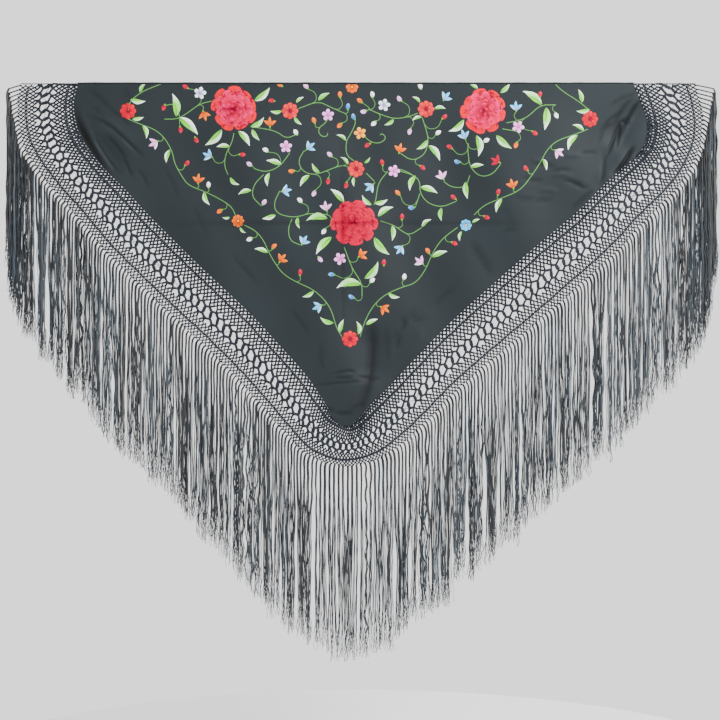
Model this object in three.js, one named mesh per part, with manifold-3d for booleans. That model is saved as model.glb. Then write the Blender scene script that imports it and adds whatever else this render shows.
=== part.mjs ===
// A triangular shawl of black silk crepe, hung by its straight top edge.
// A knotted net band runs down both slanting sides and round the point, and a long
// silk fringe hangs from the band's rim.
//
// Millimetres, +Z up, +X to the viewer's right, and the front of the cloth faces -Y.
// The origin is the middle of the top edge, where the shawl is held.

import * as THREE from "three";
import { mergeVertices } from "three/addons/utils/BufferGeometryUtils.js";
import Module from "manifold-3d";

const wasm = await Module();
wasm.setup();

// Thicknesses of the walls.
const CLOTH_WALL = 1.6;
const NET_WALL = 2.2;
const HEADER_WALL = 3.0;
const SEAM_GAP = 0.35;

// The rolled hem along the top edge.
const HEM_RADIUS = 2.0;
const HEM_SIDES = 8;

// Cells of the cloth: its columns run from the top edge to the seam with the net.
const CLOTH_COLUMNS = 42;
const CLOTH_ROWS = 12;

// The net repeats this often along each cell of the seam, and each repeat is two cells wide.
const REPEATS_PER_COLUMN = 3;
const CELLS_PER_REPEAT = 2;

// The strands of the fringe and the narrow header that they grow from.
const STRANDS = 246;
const STRAND_SIDES = 3;
const STRAND_RADIUS = 1.5;
const STRAND_TIP_RADIUS = 1.1;
const STRAND_LENGTH = 455;
const HEADER_WIDTH = 5;
const ROOT_IN_HEADER = 0.6;

// A strand falls this far outside its root, and this far or more from the next one. They
// hang in turn a little in front of one another, with uneven lengths and a slight sway.
const ROOT_THROW = 13;
const LEAST_SPACING = 2.0;
const LAYER_OFFSETS = [-4.6, 0, 4.6];
const UNEVEN_LENGTH = 12;
const UNEVEN_STEP = 2.1;
const SWAY = 1.0;
const SWAY_STEP = 0.55;

// Sections round the shawl, from the top left corner, round the point, to the top right corner.
// Each row is one line across the net: its start on the cloth's edge and its end on the net's rim.
const SECTIONS = [
  { edgeX: -705, edgeZ: 0, rimX: -848, rimZ: 0 },
  { edgeX: -716, edgeZ: -52, rimX: -855, rimZ: -62 },
  { edgeX: -708, edgeZ: -110, rimX: -847, rimZ: -135 },
  { edgeX: -686, edgeZ: -155, rimX: -814, rimZ: -202 },
  { edgeX: -643, edgeZ: -211, rimX: -760, rimZ: -272 },
  { edgeX: -588, edgeZ: -266, rimX: -698, rimZ: -342 },
  { edgeX: -525, edgeZ: -335, rimX: -632, rimZ: -422 },
  { edgeX: -401, edgeZ: -458, rimX: -500, rimZ: -552 },
  { edgeX: -281, edgeZ: -571, rimX: -385, rimZ: -660 },
  { edgeX: -198, edgeZ: -660, rimX: -300, rimZ: -746 },
  { edgeX: -135, edgeZ: -731, rimX: -238, rimZ: -815 },
  { edgeX: -91, edgeZ: -795, rimX: -183, rimZ: -876 },
  { edgeX: -66, edgeZ: -837, rimX: -126, rimZ: -930 },
  { edgeX: -35, edgeZ: -859, rimX: -40, rimZ: -956 },
  { edgeX: -5, edgeZ: -840, rimX: 44, rimZ: -938 },
  { edgeX: 28, edgeZ: -803, rimX: 110, rimZ: -895 },
  { edgeX: 75, edgeZ: -757, rimX: 170, rimZ: -840 },
  { edgeX: 150, edgeZ: -677, rimX: 243, rimZ: -765 },
  { edgeX: 230, edgeZ: -596, rimX: 325, rimZ: -695 },
  { edgeX: 333, edgeZ: -503, rimX: 430, rimZ: -607 },
  { edgeX: 443, edgeZ: -406, rimX: 536, rimZ: -515 },
  { edgeX: 545, edgeZ: -321, rimX: 640, rimZ: -420 },
  { edgeX: 616, edgeZ: -249, rimX: 713, rimZ: -342 },
  { edgeX: 678, edgeZ: -193, rimX: 783, rimZ: -273 },
  { edgeX: 710, edgeZ: -157, rimX: 828, rimZ: -210 },
  { edgeX: 720, edgeZ: -116, rimX: 853, rimZ: -145 },
  { edgeX: 714, edgeZ: -75, rimX: 856, rimZ: -82 },
  { edgeX: 684, edgeZ: 0, rimX: 838, rimZ: 0 },
];

// Broad waves of the hanging cloth: height of the wave, its length along X,
// how far it slants with Z, and its phase in radians.
const WAVES = [
  { height: 9, length: 640, slant: 0.25, phase: 0.6 },
  { height: 5, length: 330, slant: -0.35, phase: 2.1 },
  { height: 2.5, length: 205, slant: 0.5, phase: 4.0 },
];

// The largest folds: each runs from its start to its end, with a soft width on either
// side, and stands off the cloth by its height (towards +Y, away from the viewer).
const FOLDS = [
  { startX: 695, startZ: -32, endX: 622, endZ: -168, width: 30, height: 9 },
  { startX: 678, startZ: -168, endX: 600, endZ: -268, width: 26, height: -6 },
  { startX: -690, startZ: -80, endX: -560, endZ: -180, width: 34, height: -8 },
  { startX: -660, startZ: -120, endX: -590, endZ: -240, width: 30, height: 7 },
  { startX: 26, startZ: -600, endX: 22, endZ: -760, width: 34, height: 9 },
];

// The waves and folds grow from nothing at the held top edge to full size this far down.
const WAVES_FULL_AT = 260;

// Names and ends of the net's stretches, as shares of the way round the shawl.
const NET_STRETCHES = [
  { name: "net_band_left", from: 0, to: 0.43 },
  { name: "net_band_point", from: 0.43, to: 0.57 },
  { name: "net_band_right", from: 0.57, to: 1 },
];

// Lines of the net, from the cloth's edge to the rim, at a share of its width. A repeat's
// first cell runs from "first" to "second" and its other cell on to the next repeat, both
// as shares of the repeat. "open" is the cell that is cut through beyond the line.
const NET_LINES = [
  { share: 0.0, first: 0, second: 0, open: null },
  { share: 0.29, first: 0.08, second: 0.42, open: 1 },
  { share: 0.37, first: 0.08, second: 0.42, open: null },
  { share: 0.4, first: -0.07, second: 0.57, open: 0 },
  { share: 0.56, first: -0.07, second: 0.57, open: null },
  { share: 1.0, first: 0, second: 0, open: null },
];

const FRINGE_STRETCHES = [
  "fringe_left_corner",
  "fringe_left_side",
  "fringe_left_low",
  "fringe_right_low",
  "fringe_right_side",
  "fringe_right_corner",
];

const BLACK_SILK = { color: 0x3a4246, roughness: 0.55, metalness: 0 };
const BLACK_THREAD = { color: 0x191a22, roughness: 0.6, metalness: 0 };

const smooth = (t) => t * t * (3 - 2 * t);
const clamp = (t) => Math.min(1, Math.max(0, t));

// Stations: each section with its distance along the rim, which is the parameter
// that the two curves share.
const stations = SECTIONS.map((row) => ({
  edge: new THREE.Vector2(row.edgeX, row.edgeZ),
  rim: new THREE.Vector2(row.rimX, row.rimZ),
  at: 0,
}));
for (let i = 1; i < stations.length; i++)
  stations[i].at = stations[i - 1].at + stations[i].rim.distanceTo(stations[i - 1].rim);
const rimLength = stations.at(-1).at;

// The slope of a curve at a station: the line through its two neighbours.
function slopeAt(key, i) {
  const before = stations[Math.max(0, i - 1)];
  const after = stations[Math.min(stations.length - 1, i + 1)];
  return after[key].clone().sub(before[key]).divideScalar(after.at - before.at);
}

// A point of the cloth's edge or the net's rim at a share of the way round, on a cubic
// through the stations.
function curvePoint(key, share) {
  const at = share * rimLength;
  let i = 0;
  while (i < stations.length - 2 && stations[i + 1].at < at) i++;
  const span = stations[i + 1].at - stations[i].at;
  const t = (at - stations[i].at) / span;
  const bulge = t * (1 - t) * span;
  return stations[i][key]
    .clone()
    .lerp(stations[i + 1][key], smooth(t))
    .addScaledVector(slopeAt(key, i), bulge * (1 - t))
    .addScaledVector(slopeAt(key, i + 1), -bulge * t);
}

// How far the cloth stands off its flat plane at a place on it.
function depthAt(x, z) {
  const full = smooth(clamp(-z / WAVES_FULL_AT));
  const waves = WAVES.reduce(
    (sum, w) =>
      sum + w.height * Math.sin((2 * Math.PI * (x + w.slant * z)) / w.length + w.phase),
    0,
  );
  const folds = FOLDS.reduce((sum, f) => {
    const run = new THREE.Vector2(f.endX - f.startX, f.endZ - f.startZ);
    const from = new THREE.Vector2(x - f.startX, z - f.startZ);
    const along = clamp(from.dot(run) / run.lengthSq());
    const off = from.distanceTo(run.clone().multiplyScalar(along)) / f.width;
    return sum + f.height * Math.exp(-off * off);
  }, 0);
  return full * waves + smooth(clamp(-z / (WAVES_FULL_AT / 2))) * folds;
}

// The point of the mid surface at a place on the cloth or the net.
const onCloth = (flat) => new THREE.Vector3(flat.x, depthAt(flat.x, flat.y), flat.y);

// The way out of the shawl at a share of the way round, in the flat.
function outwardAt(share) {
  return curvePoint("rim", share).sub(curvePoint("edge", share)).normalize();
}

// A flat point kept just below the hem.
function belowHem(flat) {
  return flat.setY(Math.min(flat.y, -HEM_RADIUS - SEAM_GAP));
}

// A flat point of the net, by shares of the way round and of the way across.
function netPoint(share, across) {
  const start = curvePoint("edge", share).addScaledVector(outwardAt(share), SEAM_GAP);
  return belowHem(start.lerp(curvePoint("rim", share), across));
}

// A closed wall through a grid of mid-surface points, cell (i, j) lying between columns
// i and i + 1 and rows j and j + 1. Cells that "kept" turns down are left open, and
// points that coincide close their cells to triangles.
function wallThrough(grid, thickness, kept = () => true) {
  const half = thickness / 2;
  const positions = [];
  const face = (a, b, c) => {
    if (a.distanceToSquared(b) && b.distanceToSquared(c) && c.distanceToSquared(a))
      positions.push(...a, ...b, ...c);
  };
  const quad = (a, b, c, d) => {
    face(a, b, c);
    face(a, c, d);
  };
  const front = (i, j) => grid[i][j].clone().setY(grid[i][j].y - half);
  const back = (i, j) => grid[i][j].clone().setY(grid[i][j].y + half);
  const wall = (i, j, k, l) => {
    if (grid[i][j].distanceToSquared(grid[k][l]))
      quad(front(i, j), back(i, j), back(k, l), front(k, l));
  };
  const columns = grid.length - 1;
  const rows = grid[0].length - 1;
  const isKept = (i, j) => i >= 0 && j >= 0 && i < columns && j < rows && kept(i, j);
  for (let i = 0; i < columns; i++)
    for (let j = 0; j < rows; j++) {
      if (!isKept(i, j)) continue;
      quad(front(i, j), front(i, j + 1), front(i + 1, j + 1), front(i + 1, j));
      quad(back(i, j), back(i + 1, j), back(i + 1, j + 1), back(i, j + 1));
      if (!isKept(i - 1, j)) wall(i, j, i, j + 1);
      if (!isKept(i + 1, j)) wall(i + 1, j + 1, i + 1, j);
      if (!isKept(i, j - 1)) wall(i + 1, j, i, j);
      if (!isKept(i, j + 1)) wall(i, j + 1, i + 1, j + 1);
    }
  return new THREE.BufferGeometry().setAttribute(
    "position",
    new THREE.Float32BufferAttribute(positions, 3),
  );
}

// The silk: columns fan out from the hem to the seam with the net.
function clothWall() {
  const left = curvePoint("edge", 0);
  const right = curvePoint("edge", 1);
  const grid = [];
  for (let i = 0; i <= CLOTH_COLUMNS; i++) {
    const share = i / CLOTH_COLUMNS;
    const from = belowHem(left.clone().lerp(right, share));
    const to = belowHem(curvePoint("edge", share));
    grid.push(
      Array.from({ length: CLOTH_ROWS + 1 }, (_, j) =>
        onCloth(from.clone().lerp(to, j / CLOTH_ROWS)),
      ),
    );
  }
  return wallThrough(grid, CLOTH_WALL);
}

// One stretch of the net, with its long gaps and the rounder ones beside them cut through.
// Its two outer lines have the seam's own corners, so they keep an even gap to the cloth
// and to the fringe.
function netWall(from, to) {
  const cellsPerColumn = REPEATS_PER_COLUMN * CELLS_PER_REPEAT;
  const first = Math.round(from * CLOTH_COLUMNS) * cellsPerColumn;
  const last = Math.round(to * CLOTH_COLUMNS) * cellsPerColumn;
  const cells = CLOTH_COLUMNS * cellsPerColumn;
  const endGap = SEAM_GAP / rimLength;
  const outerLines = [0, NET_LINES.length - 1];
  const shareAt = (i, j) => {
    if (i === first) return i / cells + (i > 0 ? endGap : 0);
    if (i === last) return i / cells - (i < cells ? endGap : 0);
    if (outerLines.includes(j)) return Math.round(i / cellsPerColumn) / CLOTH_COLUMNS;
    const shift = i % CELLS_PER_REPEAT ? NET_LINES[j].second : NET_LINES[j].first;
    return ((Math.floor(i / CELLS_PER_REPEAT) + shift) * CELLS_PER_REPEAT) / cells;
  };
  const grid = [];
  for (let i = first; i <= last; i++)
    grid.push(NET_LINES.map((line, j) => onCloth(netPoint(shareAt(i, j), line.share))));
  const isEnd = (i) => i === first || i === last - 1;
  const kept = (i, j) =>
    isEnd(i + first) || NET_LINES[j].open !== (i + first) % CELLS_PER_REPEAT;
  return wallThrough(grid, NET_WALL, kept);
}

// Where the strands grow, as shares of the way round, and the X at which each one falls.
// Near the corners the rim turns back under them, so there they are pushed outwards.
function strandPlaces() {
  const places = Array.from({ length: STRANDS }, (_, i) => {
    const share = (i + 0.5) / STRANDS;
    return { share, x: curvePoint("rim", share).x + ROOT_THROW * outwardAt(share).x };
  });
  const middle = STRANDS / 2;
  for (let i = middle - 1; i >= 0; i--)
    places[i].x = Math.min(places[i].x, places[i + 1].x - LEAST_SPACING);
  for (let i = middle + 1; i < STRANDS; i++)
    places[i].x = Math.max(places[i].x, places[i - 1].x + LEAST_SPACING);
  return places;
}

// A strand that narrows along its path.
function strandSolid(path) {
  const sides = STRAND_SIDES;
  const across = new THREE.Vector3(0, 1, 0);
  const rings = path.map((point, i) => {
    const ahead = path[Math.min(i + 1, path.length - 1)];
    const behind = path[Math.max(i - 1, 0)];
    const along = ahead.clone().sub(behind).normalize();
    const side = along.clone().cross(across).normalize();
    const radius = THREE.MathUtils.lerp(STRAND_RADIUS, STRAND_TIP_RADIUS, i / (path.length - 1));
    return Array.from({ length: sides }, (_, k) => {
      const turn = (2 * Math.PI * k) / sides;
      return point
        .clone()
        .addScaledVector(side, radius * Math.cos(turn))
        .addScaledVector(across, radius * Math.sin(turn));
    });
  });
  const vertices = rings.flat();
  const triangles = [[0, 1, 2]];
  for (let i = 0; i < path.length - 1; i++)
    for (let k = 0; k < sides; k++) {
      const a = i * sides + k;
      const b = i * sides + ((k + 1) % sides);
      triangles.push([a, b + sides, b], [a, a + sides, b + sides]);
    }
  const end = (path.length - 1) * sides;
  triangles.push([end, end + 2, end + 1]);
  return new wasm.Manifold(
    new wasm.Mesh({
      numProp: 3,
      vertProperties: new Float32Array(vertices.flatMap((v) => [...v])),
      triVerts: new Uint32Array(triangles.flat()),
    }),
  );
}

// A solid that can be joined to others, from a closed wall.
function solidFrom(geometry) {
  const merged = mergeVertices(geometry);
  return new wasm.Manifold(
    new wasm.Mesh({
      numProp: 3,
      vertProperties: new Float32Array(merged.attributes.position.array),
      triVerts: new Uint32Array(merged.index.array),
    }),
  );
}

// The geometry of a joined solid.
function geometryFrom(solid) {
  const { vertProperties, triVerts } = solid.getMesh();
  return new THREE.BufferGeometry()
    .setAttribute("position", new THREE.BufferAttribute(vertProperties, 3))
    .setIndex(new THREE.BufferAttribute(triVerts, 1));
}

// A flat point just outside the rim, on the straight chord between two seam corners, as
// the net's wall has it.
function outsideRim(share, off) {
  const column = Math.min(Math.floor(share * CLOTH_COLUMNS), CLOTH_COLUMNS - 1);
  return curvePoint("rim", column / CLOTH_COLUMNS)
    .lerp(curvePoint("rim", (column + 1) / CLOTH_COLUMNS), share * CLOTH_COLUMNS - column)
    .addScaledVector(outwardAt(share), off);
}

// The line of one strand: out of its header, over to its hanging place, then straight down.
function strandPath(i, { share, x }) {
  const root = outsideRim(share, SEAM_GAP + HEADER_WIDTH * ROOT_IN_HEADER);
  const depth = depthAt(root.x, root.y);
  const layer = depth + LAYER_OFFSETS[i % LAYER_OFFSETS.length];
  const length = STRAND_LENGTH + UNEVEN_LENGTH * Math.sin(UNEVEN_STEP * i);
  const turnDown = root.y - HEADER_WIDTH - Math.abs(x - root.x);
  return [
    new THREE.Vector3(root.x, depth, root.y),
    new THREE.Vector3(x, layer, turnDown),
    new THREE.Vector3(x + SWAY * Math.sin(SWAY_STEP * i), layer, root.y - length / 2),
    new THREE.Vector3(x, layer, root.y - length),
  ];
}

// One stretch of the fringe: a narrow header along the net's rim with its strands.
function fringeSolid(places, first, next) {
  const endGap = SEAM_GAP / rimLength;
  const from = first / STRANDS + endGap;
  const to = next / STRANDS - endGap;
  const corners = Array.from({ length: CLOTH_COLUMNS + 1 }, (_, k) => k / CLOTH_COLUMNS);
  const headerGrid = [from, ...corners.filter((s) => s > from && s < to), to].map((share) =>
    [SEAM_GAP, SEAM_GAP + HEADER_WIDTH].map((off) => onCloth(belowHem(outsideRim(share, off)))),
  );
  let solid = solidFrom(wallThrough(headerGrid, HEADER_WALL));
  for (let i = first; i < next; i++) solid = solid.add(strandSolid(strandPath(i, places[i])));
  return geometryFrom(solid);
}

// The rolled hem: a slim cord of cloth along the whole top edge, over the net's ends too.
function hemRoll() {
  const left = curvePoint("rim", 0).x;
  const right = curvePoint("rim", 1).x;
  return new THREE.CylinderGeometry(HEM_RADIUS, HEM_RADIUS, right - left, HEM_SIDES)
    .rotateZ(Math.PI / 2)
    .translate((left + right) / 2, 0, 0);
}

const shawl = new THREE.Group();
function addPiece(name, geometry, look) {
  const mesh = new THREE.Mesh(geometry, new THREE.MeshStandardMaterial(look));
  mesh.name = name;
  shawl.add(mesh);
}

addPiece("silk_cloth", clothWall(), BLACK_SILK);
addPiece("top_hem", hemRoll(), BLACK_SILK);
for (const { name, from, to } of NET_STRETCHES) addPiece(name, netWall(from, to), BLACK_THREAD);
const places = strandPlaces();
FRINGE_STRETCHES.forEach((name, k) => {
  const first = Math.round((STRANDS * k) / FRINGE_STRETCHES.length);
  const next = Math.round((STRANDS * (k + 1)) / FRINGE_STRETCHES.length);
  addPiece(name, fringeSolid(places, first, next), BLACK_THREAD);
});

export default shawl;
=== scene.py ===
import math

import bpy
import numpy as np
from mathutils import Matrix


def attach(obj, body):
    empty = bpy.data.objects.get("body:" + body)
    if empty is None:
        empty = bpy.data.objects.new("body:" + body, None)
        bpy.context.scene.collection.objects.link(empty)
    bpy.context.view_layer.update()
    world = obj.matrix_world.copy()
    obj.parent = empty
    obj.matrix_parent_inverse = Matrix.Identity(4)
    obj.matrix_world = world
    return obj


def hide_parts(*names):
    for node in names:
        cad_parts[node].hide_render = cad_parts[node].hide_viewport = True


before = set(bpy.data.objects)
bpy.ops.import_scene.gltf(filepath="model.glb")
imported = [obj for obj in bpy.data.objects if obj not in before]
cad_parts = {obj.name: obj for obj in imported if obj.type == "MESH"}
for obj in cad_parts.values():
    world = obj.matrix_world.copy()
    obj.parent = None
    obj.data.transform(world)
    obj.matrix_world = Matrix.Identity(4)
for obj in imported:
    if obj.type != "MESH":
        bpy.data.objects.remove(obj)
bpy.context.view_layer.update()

# Camera
# The shawl is seen square on, from far enough back for a near-flat view of it.
CAMERA_LENS = 85
CAMERA_DISTANCE = 4.25
VIEW_MIDDLE_Z = -0.6925

camera_data = bpy.data.cameras.new("camera")
camera_data.lens = CAMERA_LENS
camera = bpy.data.objects.new("camera", camera_data)
camera.location = (0, -CAMERA_DISTANCE, VIEW_MIDDLE_Z)
camera.rotation_euler = (math.pi / 2, 0, 0)
bpy.context.scene.collection.objects.link(camera)
bpy.context.scene.camera = camera

# The silk
# One triangle of charcoal silk crepe, woven plain and hung by its straight top edge. It is
# thin and limp, with broad waves, folds from its corners and the creases of its storage,
# and shade is painted darker into its colour along the creases.
MM = 0.001
SHELL = 0.8 * MM
TOP_EDGE = -2.2 * MM
CLOTH_TOP = -1.0 * MM
CLOTH_ROWS = 165
CLOTH_COLUMNS = 250
# The share of the drop that each share of the rows reaches: the rows lie closest by the
# side corners and the point.
ROW_SHARES = ((0, 0.46, 0.72, 0.92, 1), (0, 0.335, 0.8, 0.935, 1))
FINER_AT_SIDES = 0.62
OUTLINE_POINTS = 2401
ABOVE_TIP = 0.4 * MM
CREPE_CLOUDS = 2.4
CREPE_GRAIN = 620
GRAIN_DEPTH = 0.5 * MM
SILK_DARK = (0.0042, 0.0060, 0.0074)
SILK_LIGHT = (0.0146, 0.0206, 0.0240)
# Painted shade: the colour that the silk darkens towards along its creases.
SILK_PAINTED_SHADE_IN_CREASES = (0.0016, 0.0020, 0.0022)

# Lines across the net band, from the top left corner round the point to the top right
# corner: the cloth's edge (x, z) and the band's rim (x, z), in millimetres.
SECTIONS = np.array([
    (-705, 0, -848, 0), (-716, -52, -855, -62), (-708, -110, -847, -135),
    (-686, -155, -814, -202), (-643, -211, -760, -272), (-588, -266, -698, -342),
    (-525, -335, -632, -422), (-401, -458, -500, -552), (-281, -571, -385, -660),
    (-198, -660, -300, -746), (-135, -731, -238, -815), (-91, -795, -183, -876),
    (-66, -837, -126, -930), (-35, -859, -40, -956), (-5, -840, 44, -938),
    (28, -803, 110, -895), (75, -757, 170, -840), (150, -677, 243, -765),
    (230, -596, 325, -695), (333, -503, 430, -607), (443, -406, 536, -515),
    (545, -321, 640, -420), (616, -249, 713, -342), (678, -193, 783, -273),
    (710, -157, 828, -210), (720, -116, 853, -145), (714, -75, 856, -82),
    (684, 0, 838, 0),
]) * MM

# Broad waves: height, length along X, slant with Z (all but the slant in millimetres)
# and phase in radians.
WAVES = ((9, 640, 0.25, 0.6), (5, 330, -0.35, 2.1), (2.5, 205, 0.5, 4.0))
WAVES_FULL_AT = 260 * MM

# Folds and creases, in millimetres: the stops (x, z) that each one passes, its width and
# its height away from the viewer. The folds are broad, the creases of wear are sharp, and
# those of storage are pressed in straight lines.
FOLDS = (
    (((695, -32), (622, -168)), 30, 9), (((678, -168), (600, -268)), 26, -6),
    (((-690, -80), (-560, -180)), 34, -8), (((-660, -120), (-590, -240)), 30, 7),
    (((26, -600), (22, -760)), 34, 9),
)
CREASES = (
    # At the right corner.
    (((706, -34), (700, -42), (685, -62), (667, -95), (655, -118)), 4.2, 6.0),
    (((672, -84), (650, -97), (640, -127), (622, -170), (612, -196)), 4.0, 4.6),
    (((668, -92), (652, -107), (645, -147), (640, -172)), 3.6, 4.0),
    (((688, -150), (680, -165), (662, -195), (642, -222), (626, -240)), 5.0, 6.5),
    (((694, -60), (676, -92), (650, -140), (636, -176)), 6.0, -4.0),
    (((690, -172), (672, -204), (648, -232)), 5.5, -3.5),
    (((674, -86), (664, -92), (652, -102)), 3.5, 2.0),
    (((680, -104), (668, -101), (652, -92)), 3.0, 2.0),
    (((690, -28), (660, -58), (640, -92), (628, -128)), 4.5, 2.8),
    (((700, -20), (650, -40), (612, -66)), 4.5, 2.0), (((668, -62), (620, -96), (596, -130)), 4.5, 2.2),
    (((642, -90), (606, -122), (588, -160)), 5.0, 2.0),
    (((612, -160), (606, -232), (596, -262)), 5.0, 2.4),
    (((500, -242), (530, -248), (556, -262), (580, -262)), 4.0, 2.6),
    (((470, -226), (500, -218), (530, -220)), 4.5, 1.6),
    (((588, -262), (556, -290), (520, -322)), 5.5, 2.0),
    (((430, -300), (455, -292), (486, -296)), 4.5, 1.6),
    (((545, -180), (570, -174), (596, -176)), 4.5, 1.5),
    # At the left corner.
    (((-717, -44), (-712, -66), (-703, -110), (-678, -158), (-652, -200), (-616, -244)), 10.0, 6.5),
    (((-702, -70), (-687, -97), (-668, -142), (-643, -183), (-612, -224)), 6.0, -3.0),
    (((-672, -128), (-645, -172), (-627, -197), (-600, -230)), 4.2, 2.8),
    (((-694, -80), (-650, -93), (-620, -112), (-592, -137), (-568, -160), (-530, -196)), 4.4, 3.4),
    (((-690, -70), (-648, -84), (-616, -102), (-586, -128)), 5.0, -2.0),
    (((-684, -6), (-650, -37), (-614, -72)), 6.0, 2.0),
    (((-634, -62), (-600, -82), (-570, -112)), 5.5, 1.7),
    (((-598, -6), (-580, -28), (-560, -62)), 6.0, 1.5),
    (((-596, -182), (-584, -204), (-570, -240)), 5.0, 2.0),
    (((-560, -210), (-542, -236), (-530, -266)), 5.5, 1.3),
    (((-640, -126), (-610, -156), (-580, -196)), 4.8, 1.8),
    (((-672, -52), (-640, -92), (-622, -100)), 5.0, 1.6),
    # Down to the point and across it.
    (((27, -560), (30, -640), (27, -700), (18, -760), (4, -805), (-14, -850)), 11.0, 3.6),
    (((-72, -731), (-55, -725), (-32, -720), (-4, -724)), 3.6, 2.6),
    (((-72, -741), (-54, -737), (-34, -738), (-12, -734)), 3.6, 2.2),
    (((-132, -760), (-62, -751), (30, -744)), 3.8, 1.9),
    (((-14, -733), (8, -737), (30, -740), (56, -738)), 4.0, 2.4),
    (((-112, -806), (-84, -814), (-58, -824)), 6.0, 2.0),
    (((-68, -826), (-40, -827), (-10, -824)), 6.0, 2.2),
    (((-30, -820), (-4, -808), (20, -800)), 6.0, 1.6), (((60, -600), (68, -650), (72, -700)), 7.0, 1.0),
    # Slight ones from wear.
    (((272, -386), (298, -430), (336, -490)), 8.0, 2.4),
    (((180, -560), (210, -530), (245, -508)), 6.0, 1.1),
    (((420, -190), (450, -196), (478, -190)), 6.0, -1.6),
    (((430, -204), (462, -206), (492, -214)), 5.5, 1.7),
    (((500, -176), (530, -182), (560, -178)), 6.0, -1.4),
    (((470, -232), (505, -228), (540, -240)), 6.0, -1.6),
    (((400, -236), (430, -246), (462, -244)), 6.0, 1.5),
    (((440, -270), (470, -266), (500, -276)), 6.0, -1.4),
    (((380, -280), (404, -292), (440, -290)), 6.0, 1.3),
    (((520, -262), (540, -252), (560, -262)), 6.0, 1.4),
    (((96, -580), (112, -596), (104, -622)), 6.0, 2.2),
    (((120, -566), (138, -590), (160, -598)), 6.0, 1.8),
    (((84, -616), (96, -640), (90, -668)), 6.0, 1.8),
    (((130, -610), (150, -628), (146, -652)), 6.0, -1.8),
    (((150, -572), (172, -580), (190, -572)), 6.0, -1.5),
    (((70, -650), (80, -672), (72, -700)), 6.0, -1.5),
    (((350, -380), (372, -366), (398, -372)), 6.0, 1.2),
    (((250, -470), (262, -492), (284, -500)), 6.0, -1.2),
    (((-330, -420), (-296, -460), (-250, -510)), 6.5, 0.9),
    (((-420, -300), (-402, -340), (-380, -390)), 6.5, 0.8),
    (((-180, -560), (-150, -596), (-120, -640)), 6.5, 0.9),
    (((350, -300), (372, -330), (384, -372)), 6.0, 1.0),
    (((-500, -200), (-470, -250), (-452, -300)), 6.0, 0.8),
    (((-96, -640), (-100, -690), (-92, -730)), 6.5, 1.0),
)
STORAGE_DEPTH = 0.7
STORAGE_CREASES = (
    (((-640, -350), (-300, -352), (200, -349), (560, -352)), 4.5, STORAGE_DEPTH),
    (((-42, -20), (-44, -300), (-42, -700)), 4.5, STORAGE_DEPTH),
    (((-390, -64), (-310, -66), (-230, -65)), 4.0, STORAGE_DEPTH),
)
CREASE_SHADE = 3.6 * MM
SHADE_STARTS_IN = 20 * MM

reach = np.concatenate([[0], np.cumsum(np.hypot(*np.diff(SECTIONS[:, 2:], axis=0).T))])
slopes = np.empty_like(SECTIONS)
slopes[1:-1] = (SECTIONS[2:] - SECTIONS[:-2]) / (reach[2:] - reach[:-2])[:, None]
slopes[0] = (SECTIONS[1] - SECTIONS[0]) / (reach[1] - reach[0])
slopes[-1] = (SECTIONS[-1] - SECTIONS[-2]) / (reach[-1] - reach[-2])


def smooth(t):
    """The soft step from 0 to 1: 3t squared less 2t cubed, with t kept within 0 and 1."""
    t = np.clip(t, 0, 1)
    return t * t * (3 - 2 * t)


def net_place(share, across):
    """Flat points (x, z): cubics through the sections at a share of the way round give the
    cloth's edge and the rim, and the point lies a share of the way across between them."""
    share, across = np.broadcast_arrays(share, across)
    at = share * reach[-1]
    i = np.clip(np.searchsorted(reach, at, "right") - 1, 0, len(reach) - 2)
    span = reach[i + 1] - reach[i]
    t = (at - reach[i]) / span
    bulge = t * (1 - t) * span
    ends = SECTIONS[i] + smooth(t)[..., None] * (SECTIONS[i + 1] - SECTIONS[i])
    ends = ends + slopes[i] * (bulge * (1 - t))[..., None] - slopes[i + 1] * (bulge * t)[..., None]
    edge, rim = ends[..., :2], ends[..., 2:]
    return edge + (rim - edge) * across[..., None]


def ridges(x, z, table):
    """The sum of soft ridges. Each has its height times the bell curve of the distance to
    the chain of its stops, and it fades out over a third of the chain at both ends."""
    total = np.zeros(np.shape(x))
    for stops, width, height in table:
        stops = np.array(stops, float) * MM
        runs = np.diff(stops, axis=0)
        lengths = np.hypot(*runs.T)
        before = np.cumsum(lengths) - lengths
        away_x, away_z = x[..., None] - stops[:-1, 0], z[..., None] - stops[:-1, 1]
        t = np.clip((away_x * runs[:, 0] + away_z * runs[:, 1]) / lengths ** 2, 0, 1)
        gap = np.hypot(away_x - t * runs[:, 0], away_z - t * runs[:, 1])
        nearest = gap.argmin(axis=-1)[..., None]
        share = np.take_along_axis((before + t * lengths) / lengths.sum(), nearest, -1)[..., 0]
        fade = smooth(3 * share) * smooth(3 * (1 - share))
        off = np.take_along_axis(gap, nearest, -1)[..., 0] / (width * MM)
        total = total + height * MM * fade * np.exp(-off * off)
    return total


def stand_off(x, z):
    """How far the cloth stands off its flat plane: waves that grow down from the held top
    edge, plus the folds and creases."""
    waves = sum(
        height * MM * np.sin(2 * math.pi * (x + slant * z) / (length * MM) + phase)
        for height, length, slant, phase in WAVES
    )
    folds = ridges(x, z, FOLDS + CREASES + STORAGE_CREASES)
    return smooth(-z / WAVES_FULL_AT) * waves + smooth(-z / (WAVES_FULL_AT / 2)) * folds


def grid_faces(rows, columns):
    """The quads of a grid of corners numbered along its rows."""
    corner = np.arange(rows * columns).reshape(rows, columns)
    quads = [corner[:-1, :-1], corner[:-1, 1:], corner[1:, 1:], corner[1:, :-1]]
    return np.stack(quads, -1).reshape(-1, 4)


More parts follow.
